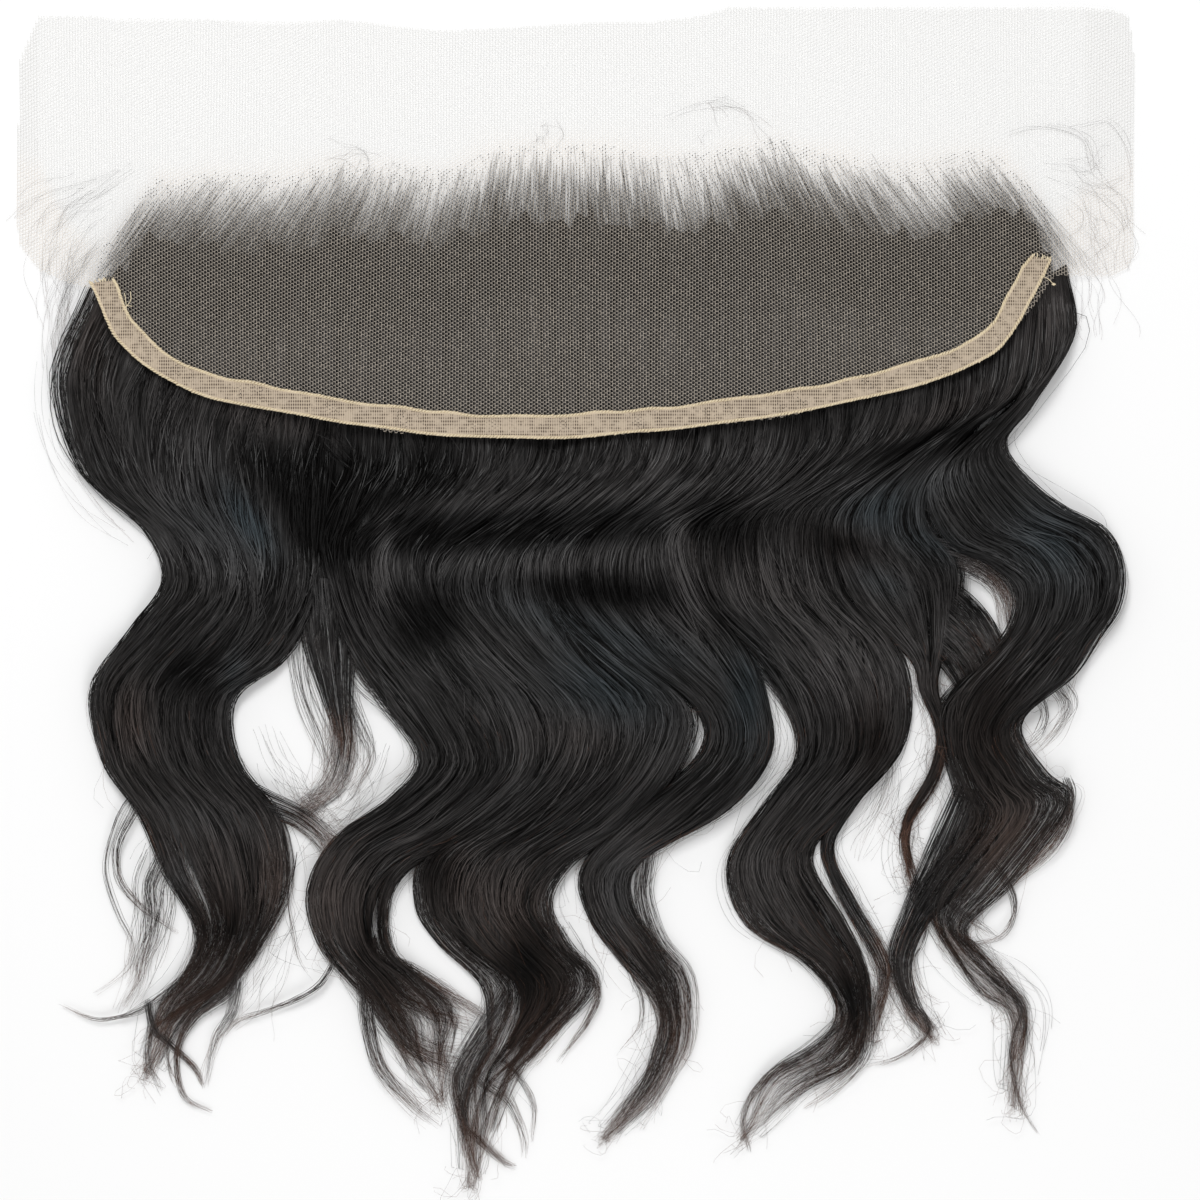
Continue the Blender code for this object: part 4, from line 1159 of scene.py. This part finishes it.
masses = []
for lock_number, (lock_name, lock_rows) in enumerate(LOCKS.items()):
    lock_rng = np.random.default_rng(FIRST_LOCK_SEED + lock_number)
    lock_strands = STRANDS_PER_MM * THIN_LOCKS.get(lock_name, 1)
    if lock_name == "under_layer":
        lock_strands = UNDER_STRANDS_PER_MM
    if lock_name not in THIN_LOCKS:
        masses.append(lock_mass(lock_rows, OTHER_SHARES.get(lock_name, MASS_SHARE)))
    lock_end = LOCK_ENDS.get(lock_name, USUAL_END)
    hairs, hair_widths, hair_along, hair_own = lock_hairs(lock_rows, lock_strands, *lock_end, lock_rng)
    lock = strand_piece("hair_" + lock_name, hairs, hair_widths, lock_rng, hair_along, hair_own)
    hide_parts("hair")
mass_places, mass_faces = join_faces(masses)
mass_along = (MASS_RUN_START - mass_places[:, 1]) / MASS_RUN_LENGTH
mass_uv = np.stack([mass_along, mass_places[:, 0] / MASS_RUN_LENGTH], axis=-1)
# The close mass's tone holds the painted sheen and painted shade of the ellipses, and their brown.
mass_sheen_shade_and_brown = painted_sheen_shade_and_brown(mass_places)
hair_mass = new_piece("hair_mass", mass_places, mass_faces, mass_material, "hair", mass_uv, mass_sheen_shade_and_brown)
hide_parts("hair")

# The wisps: thin tresses that part from the locks, most of them at the tips, where they cross each other
# and curl over the gaps between the locks.
WISP_STEPS = 22
WISP_LIMIT = 198.0  # none reaches further to either side
WISP_WIDTH = 0.15
WISP_STRANDS = 1.7  # hairs for each one counted in the table
WISP_LATE = 0.06  # how late a hair may start, and how early it may end, as shares of the way
WISP_EARLY = 0.35
WISP_EARLY_POWER = 1.5
WISP_SPREAD = 0.5  # how hairs lie round a wisp's middle, by a bell curve, and how far off at the most
WISP_SPREAD_LIMIT = 1.2
WISP_WANDER = (1.1, 0.22)  # the wave they wander by: its length in lengths of the wisp, and its size,
WISP_WANDER_START = 0.3  # and how much of it they have at the start
WISP_SETTLE_POWER = 0.8
WISP_HEIGHT_SHARES = (0.4, 1.0)  # how much of the wisp's height they have
WISP_RISES = (0.3, 1.5)  # and how high they lie over the table at their ends
WISP_TAPER = 0.6  # they narrow over this last share of their length, to this share of the locks' tips
WISP_TIP = 0.8
WISP_ALONG = (0.55, 0.45)  # they are as brown as a lock is this far down it, and at their ends so much on
WISP_LIFT = 0.4
# For each wisp: how many hairs, its width at its start and at its end, the height it starts at, and the
# points that it passes.
WISPS = {
    "tip_far_left": (10, 5, 1.2, 4, (
        (-133, -133), (-147, -143), (-156, -147), (-166, -148), (-178, -143))),
    "far_left_1": (24, 4, 1, 3, ((-147, -141), (-145, -151), (-139, -157), (-131, -165), (-128, -172))),
    "far_left_2": (5, 2, 2, 3, ((-146, -148), (-147, -162), (-145, -169), (-142, -174))),
    "far_left_3": (34, 5, 1.5, 5, (
        (-116, -124), (-119, -132), (-126, -139), (-136, -145), (-144, -150), (-147, -155))),
    "far_left_4": (30, 5, 1.2, 5, (
        (-114, -126), (-117, -132), (-120, -139), (-130, -146), (-136, -155), (-137, -165), (-134, -175),
        (-125, -180))),
    "far_left_5": (7, 3, 2, 4, ((-124, -136), (-133, -145), (-140, -156), (-140, -165), (-137, -172))),
    "far_left_6": (14, 6, 3, 4, ((-116, -133), (-118, -145), (-124, -155), (-128, -171))),
    "outer_left_1": (14, 4, 2, 5, (
        (-150, -69), (-152, -76), (-157, -86), (-158, -94), (-156, -102), (-148, -111), (-137, -119))),
    "outer_left_2": (5, 2, 1.5, 4, (
        (-147, -64), (-156, -75), (-160, -85), (-162, -94), (-161, -102), (-157, -113), (-153, -121),
        (-153, -128), (-158, -134), (-167, -140))),
    "outer_left_3": (34, 16, 6, 6, (
        (-141, -90), (-146, -101), (-146, -110), (-147, -119), (-150, -128), (-152, -136), (-158, -146))),
    "outer_left_4": (8, 6, 4, 5, ((-147, -72), (-144, -83), (-143, -93), (-146, -105), (-142, -116))),
    "left_wisp_1": (12, 2.5, 1, 5, (
        (-82, -124), (-84, -130), (-89, -137), (-98, -142), (-109, -146), (-117, -149), (-122, -155))),
    "left_wisp_2": (4, 2, 2, 4, (
        (-96, -90), (-97, -96), (-99, -105), (-97, -119), (-95, -128), (-89, -136))),
    "left_fan_1": (30, 5, 5, 6, (
        (-74, -128), (-72, -139), (-71, -150), (-67, -164), (-58, -175), (-46, -185))),
    "left_fan_2": (26, 6, 5, 6, (
        (-70, -128), (-69, -139), (-66, -149), (-58, -158), (-47, -164), (-39, -168))),
    "left_fan_3": (44, 5, 4, 7, ((-70, -119), (-67, -127), (-58, -130), (-44, -139), (-31, -147))),
    "left_fan_4": (44, 9, 7, 6, ((-70, -128), (-64, -137), (-52, -144), (-33, -151))),
    "left_fan_5": (30, 8, 8, 6, ((-69, -136), (-60, -150), (-50, -158), (-36, -161))),
    "centre_left_tail": (40, 9, 2, 5, (
        (-22, -136), (-30, -149), (-38, -161), (-41, -170), (-39, -182), (-36, -195), (-33, -204))),
    "centre_left_curl": (26, 5, 2, 4, (
        (-29, -154), (-35, -166), (-38, -176), (-38, -184), (-33, -190), (-25, -197), (-20, -199))),
    "centre_left_loop_1": (8, 3, 1, 3, ((-29, -159), (-23, -164), (-18, -170), (-14, -179), (-15, -191))),
    "centre_left_loop_2": (12, 5, 2, 3, (
        (-34, -167), (-30, -171), (-23, -176), (-18, -187), (-17, -196))),
    "centre_left_bow": (22, 3, 1.5, 6, (
        (-10, -107), (-8, -116), (-3, -124), (4, -130), (8, -139), (4, -149), (-1, -156), (-6, -163))),
    "centre_left_web": (46, 16, 9, 6, ((-10, -117), (-5, -129), (-5, -141), (-12, -154), (-19, -163))),
    "centre_right_wisp": (6, 2, 2, 3, ((17, -126), (20, -134), (23, -141), (22, -151), (14, -161))),
    "centre_right_band": (34, 7, 5, 6, (
        (25, -88), (24, -95), (23, -106), (28, -121), (37, -132), (39, -144), (38, -158), (32, -169),
        (22, -186))),
    "centre_right_tail": (18, 5, 4, 4, ((30, -154), (26, -167), (18, -179), (8, -191))),
    "right_tail_1": (26, 6, 0.8, 5, (
        (98, -136), (94, -147), (82, -158), (70, -165), (62, -173), (58, -183), (60, -194))),
    "right_tail_2": (16, 5, 5, 4, ((100, -136), (101, -150), (99, -161), (91, -170), (78, -179))),
    "right_tail_3": (10, 3, 5, 4, ((96, -141), (93, -155), (86, -165), (77, -171))),
    "right_curl_end": (14, 3, 0.7, 4, (
        (110, -128), (114, -139), (121, -148), (121, -154), (112, -161), (100, -165))),
    "right_curl_inner": (5, 1.5, 2, 4, ((122, -112), (120, -121), (117, -128), (120, -138), (127, -143))),
    "far_right_loop_1": (12, 3, 1.5, 6, (
        (141, -90), (146, -96), (151, -105), (151, -113), (146, -120), (134, -123))),
    "far_right_loop_2": (9, 4, 2, 5, ((128, -107), (134, -112), (139, -115), (147, -120))),
    "far_right_edge": (16, 4, 3, 9, ((169, -64), (171, -71), (168, -80), (159, -91), (149, -100))),
    "far_right_tail_1": (14, 4, 2, 4, ((143, -133), (151, -139), (155, -147), (153, -158), (148, -169))),
    "far_right_tail_2": (8, 2, 0.5, 4, (
        (150, -138), (154, -145), (150, -158), (152, -172), (155, -180), (160, -188))),
    "far_right_tail_3": (6, 2, 2, 4, ((152, -141), (155, -149), (154, -166))),
    "far_right_curl_1": (14, 8, 4, 6, ((160, -27), (167, -34), (170, -40), (166, -48), (156, -58))),
    "far_right_curl_2": (8, 6, 4, 6, ((159, -34), (162, -42), (160, -50), (154, -55))),
    "right_loop_edge": (26, 5, 2.5, 9, (
        (146, -62), (156, -66), (166, -70), (170, -77), (165, -88), (153, -99), (138, -110))),
    "hole_fan_1": (12, 8, 5, 5, ((-95, -14), (-96, -22), (-93, -38), (-87, -53), (-86, -62), (-92, -72))),
    "hole_fan_2": (16, 9, 5, 5, ((-89, -14), (-89, -22), (-85, -40), (-84, -53), (-86, -66))),
    "hole_fan_3": (16, 8, 5, 5, ((-82, -17), (-81, -30), (-78, -45), (-77, -58), (-83, -70))),
    "second_hole_1": (22, 8, 7, 6, (
        (-77, -22), (-71, -32), (-60, -41), (-52, -51), (-54, -62), (-64, -69))),
    "second_hole_2": (10, 8, 6, 5, ((-79, -34), (-73, -48), (-71, -59), (-78, -72))),
    "middle_gap": (24, 8, 6, 5, ((62, -26), (71, -36), (77, -47), (78, -58), (73, -70), (64, -82))),
    "right_bridge_top": (72, 9, 8, 8, ((114, 14), (129, 11.5), (142, 6), (149.5, -3), (151, -19))),
}


def wisp_hairs(count, first_width, last_width, height, path, late, rng):
    """Hairs along a path, spread over its width and wandering in it, which settle on the table towards
    their ends. Each starts a little late, up to the share given, and ends a little early."""
    start = late * rng.random((count, 1))
    length = 1 - WISP_EARLY * rng.random((count, 1)) ** WISP_EARLY_POWER - start
    share = start + np.linspace(0, 1, WISP_STEPS)[None] * length
    fine = along_table(path, share * (len(path) - 1))
    run = np.gradient(fine, axis=1)
    run /= np.linalg.norm(run, axis=2, keepdims=True)
    spread = (first_width * (1 - share) + last_width * share) / 2
    off = np.clip(rng.normal(0, WISP_SPREAD, (count, 1)), -WISP_SPREAD_LIMIT, WISP_SPREAD_LIMIT) * spread
    off += slow_waves(rng, count, share, *WISP_WANDER) * (WISP_WANDER_START + share) * (spread + 1)
    flat = fine + np.stack([-run[..., 1], run[..., 0]], axis=-1) * off[..., None]
    up = height * (1 - share) ** WISP_SETTLE_POWER * rng.uniform(*WISP_HEIGHT_SHARES, (count, 1))
    up = up + rng.uniform(*WISP_RISES, (count, 1))
    return np.concatenate([flat, up[..., None]], axis=-1)


def wisp_piece(name, table, width, per_count, late, rng):
    """All the wisps of a table in one piece, narrowing to fine ends."""
    centres = np.concatenate([
        wisp_hairs(max(1, int(count * per_count)), first_width, last_width, height, path, late, rng)
        for count, first_width, last_width, height, path in table.values()])
    centres = centres[abs(centres[..., 0]).max(axis=1) < WISP_LIMIT]
    share = np.linspace(0, 1, WISP_STEPS)[None]
    tip = TIP_WIDTH * WISP_TIP
    widths = tip + (width - tip) * np.clip((1 - share) / WISP_TAPER, 0, 1)
    along = WISP_ALONG[0] + WISP_ALONG[1] * share
    return strand_piece(name, centres, widths, rng, along, rng.random((len(centres), 1)), WISP_LIFT)


wisp_piece("hair_wisps", WISPS, WISP_WIDTH, WISP_STRANDS, WISP_LATE, np.random.default_rng(21))

# The fine hairs: the shortest and finest hairs of the hairline, knotted into the front of the net and
# pulled forward over the bare lace, in loose loops. Their table is as that of the wisps.
FINE_WIDTH = 0.055
FINE_LATE = 0.6
FINE_HAIRS = {
    "left_arc_1": (14, 10, 26, 0.8, ((-152, 148), (-163, 141), (-172, 136), (-182, 130), (-192, 122))),
    "left_arc_2": (20, 14, 20, 0.8, (
        (-155, 140), (-167, 133), (-177, 122), (-181, 112), (-182, 100), (-181, 90))),
    "left_arc_3": (34, 8, 10, 0.8, ((-162, 122), (-169, 115), (-175, 105), (-178, 93), (-178, 76))),
    "left_fall": (16, 8, 12, 2, (
        (-172, 100), (-180, 84), (-181, 66), (-176, 48), (-165, 32), (-150, 18))),
    "right_loop_1": (6, 4, 6, 0.8, (
        (147, 157), (157, 160), (168, 159), (176, 155), (179, 147), (181, 135))),
    "right_loop_2": (3, 3, 3, 0.8, (
        (169, 159), (178, 161), (184, 161), (189, 155), (192, 145), (192, 135))),
    "right_fall_1": (26, 16, 40, 0.8, ((160, 143), (174, 140), (183, 131), (186, 121), (187, 109))),
    "right_fall_2": (24, 10, 24, 0.8, ((164, 131), (170, 122), (174, 112), (176, 100), (176, 86))),
    "right_cross": (8, 10, 20, 0.8, ((159, 147), (169, 147), (179, 145), (190, 147))),
    "centre_loop_1": (5, 12, 10, 0.8, ((26, 150), (33, 160), (45, 165), (58, 163), (66, 155))),
    "centre_loop_2": (5, 26, 20, 0.8, ((64, 150), (57, 160), (48, 166), (40, 167))),
    "centre_short": (6, 14, 12, 0.8, ((-10, 150), (-9, 157), (-12, 160))),
    "left_short": (6, 12, 14, 0.8, ((-67, 145), (-69, 151), (-78, 155), (-88, 154))),
}
wisp_piece("fine_hairs", FINE_HAIRS, FINE_WIDTH, 1, FINE_LATE, np.random.default_rng(31))

# The webs: single hairs that have worked loose from the locks, and cross the gaps between them in curves
# of their own. Their table is as that of the wisps.
WEB_WIDTH = 0.085
WEB_LATE = 0.6
WEBS = {
    "left_hole": (30, 14, 18, 5, ((-108, -46), (-101, -62), (-92, -75), (-79, -84))),
    "second_hole": (20, 10, 16, 5, ((-66, -50), (-72, -64), (-82, -76), (-96, -82))),
    "left_tips": (22, 12, 18, 4, ((-96, -106), (-102, -122), (-110, -137), (-117, -152))),
    "right_gap": (26, 8, 10, 5, ((109, -32), (108, -48), (109, -64), (104, -80), (98, -94))),
    "right_tips": (16, 10, 14, 4, ((112, -116), (106, -128), (109, -142), (116, -156))),
}
wisp_piece("web_hairs", WEBS, WEB_WIDTH, 1, WEB_LATE, np.random.default_rng(61))

# The flyaways: single hairs of the locks, knotted into the lace like the rest, that leave a lock's sides
# in long shallow bows, and come back.
FLYAWAYS_PER_ROW = 6
FLYAWAY_WIDTH = 0.085
FLYAWAY_STEPS = 22
FLYAWAY_REACH = 2.3  # how far they leave a lock, on average
FLYAWAY_FIRST_ROW = 0.8
FLYAWAY_LAST_START = 0.9  # none starts further down its lock than this share
FLYAWAY_ROWS = (1.0, 5.0)
FLYAWAY_BOWS = (0.6, 1.0)  # how much of half a sine wave they go through
FLYAWAY_SIDE = 0.9  # they leave from this share of half the lock's width
FLYAWAY_WANDER = (2, 0.4)
FLYAWAY_DEPTHS = (0.0, 0.8)
FLYAWAY_ALONG = 0.8  # they are as brown as a lock is this far down it
NO_FLYAWAYS = ("under_layer", "left_bridge")


def flyaway_hairs(rows, rng):
    """Hairs along the two sides of a lock, from a random row for one to five rows, held off it by half a
    sine wave whose height has an exponential spread."""
    last = len(rows) - 1
    count = last * FLYAWAYS_PER_ROW
    start = rng.uniform(FLYAWAY_FIRST_ROW, last * FLYAWAY_LAST_START, (count, 1))
    share = np.linspace(0, 1, FLYAWAY_STEPS)[None]
    row = np.minimum(start + share * rng.uniform(*FLYAWAY_ROWS, (count, 1)), last)
    side = rng.choice([-1.0, 1.0], (count, 1))
    section = along_table(rows, row)
    half_width = np.linalg.norm(section[..., 2:4] - section[..., 0:2], axis=-1) / 2
    reach = rng.exponential(FLYAWAY_REACH, (count, 1))
    reach = reach * np.sin(share * math.pi * rng.uniform(*FLYAWAY_BOWS, (count, 1)))
    reach = reach + slow_waves(rng, count, share, *FLYAWAY_WANDER)
    depth = rng.uniform(*FLYAWAY_DEPTHS, (count, 1))
    return in_lock(rows, row, side * (FLYAWAY_SIDE + reach / half_width), depth + 0 * row)


fly_rng = np.random.default_rng(41)
flyaways = np.concatenate([
    flyaway_hairs(lock_rows, fly_rng) for lock_name, lock_rows in LOCKS.items()
    if lock_name not in NO_FLYAWAYS])
fly_own = fly_rng.random((len(flyaways), 1))
strand_piece("flyaway_hairs", flyaways, FLYAWAY_WIDTH, fly_rng, FLYAWAY_ALONG, fly_own)

# The frizz: the finest hairs, which work loose from the lower part of the locks and cross each other over
# the gaps. They are browner than the rest, because the light comes through them.
FRIZZ_PER_ROW = 22
FRIZZ_STEPS = 18
FRIZZ_WIDTH = 0.075
FRIZZ_REACH = 3.6  # how far it strays at its ends, on average
FRIZZ_LIMIT = 9.0  # and at most
FRIZZ_REACH_POWER = 1.2
FRIZZ_LOW_SHARE = 0.62  # it starts in this lower share of a lock, and so many rows before that
FRIZZ_ROWS_BEFORE = 0.6
FRIZZ_ROWS = (0.8, 3.0)
FRIZZ_ROWS_PAST = 0.2  # how far past the lock's last row it may go
FRIZZ_WANDER = (1.3, 1)
FRIZZ_SINK = 0.6  # it sinks by this share of its height on its way, but lies this far over that,
FRIZZ_RISE = 0.4
FRIZZ_RISE_SHARE = 0.2  # and higher still by this share of how far it strays
FRIZZ_ALONG = 0.95  # it is as brown as a lock is this far down it
FRIZZ_LIFT = 0.5


def frizz_hairs(rows, rng):
    """Hairs that start anywhere in the lower two thirds of a lock and follow it for one to three rows.
    They stray from it ever further, in all directions, by smooth random curves whose size has an
    exponential spread that is cut off."""
    last = len(rows) - 1
    count = last * FRIZZ_PER_ROW
    share = np.linspace(0, 1, FRIZZ_STEPS)[None]
    start = last * (1 - FRIZZ_LOW_SHARE * rng.random((count, 1))) - FRIZZ_ROWS_BEFORE
    row = np.minimum(start + share * rng.uniform(*FRIZZ_ROWS, (count, 1)), last + FRIZZ_ROWS_PAST)
    places = in_lock(rows, row, rng.uniform(-1, 1, (count, 1)) + 0 * row, rng.random((count, 1)) + 0 * row)
    size = np.minimum(rng.exponential(FRIZZ_REACH, (count, 1)), FRIZZ_LIMIT)
    reach = share ** FRIZZ_REACH_POWER * size
    places[..., 0] += reach * slow_waves(rng, count, share, *FRIZZ_WANDER)
    places[..., 1] += reach * slow_waves(rng, count, share, *FRIZZ_WANDER)
    up = places[..., 2] * (1 - FRIZZ_SINK * share) + FRIZZ_RISE + reach * FRIZZ_RISE_SHARE
    places[..., 2] = np.maximum(up, LOCK_FLOOR)
    return places


frizz_rng = np.random.default_rng(51)
frizz = np.concatenate([
    frizz_hairs(lock_rows, frizz_rng) for lock_name, lock_rows in LOCKS.items()
    if lock_name != "under_layer"])
frizz_own = frizz_rng.random((len(frizz), 1))
strand_piece("frizz_hairs", frizz, FRIZZ_WIDTH, frizz_rng, FRIZZ_ALONG, frizz_own, FRIZZ_LIFT)
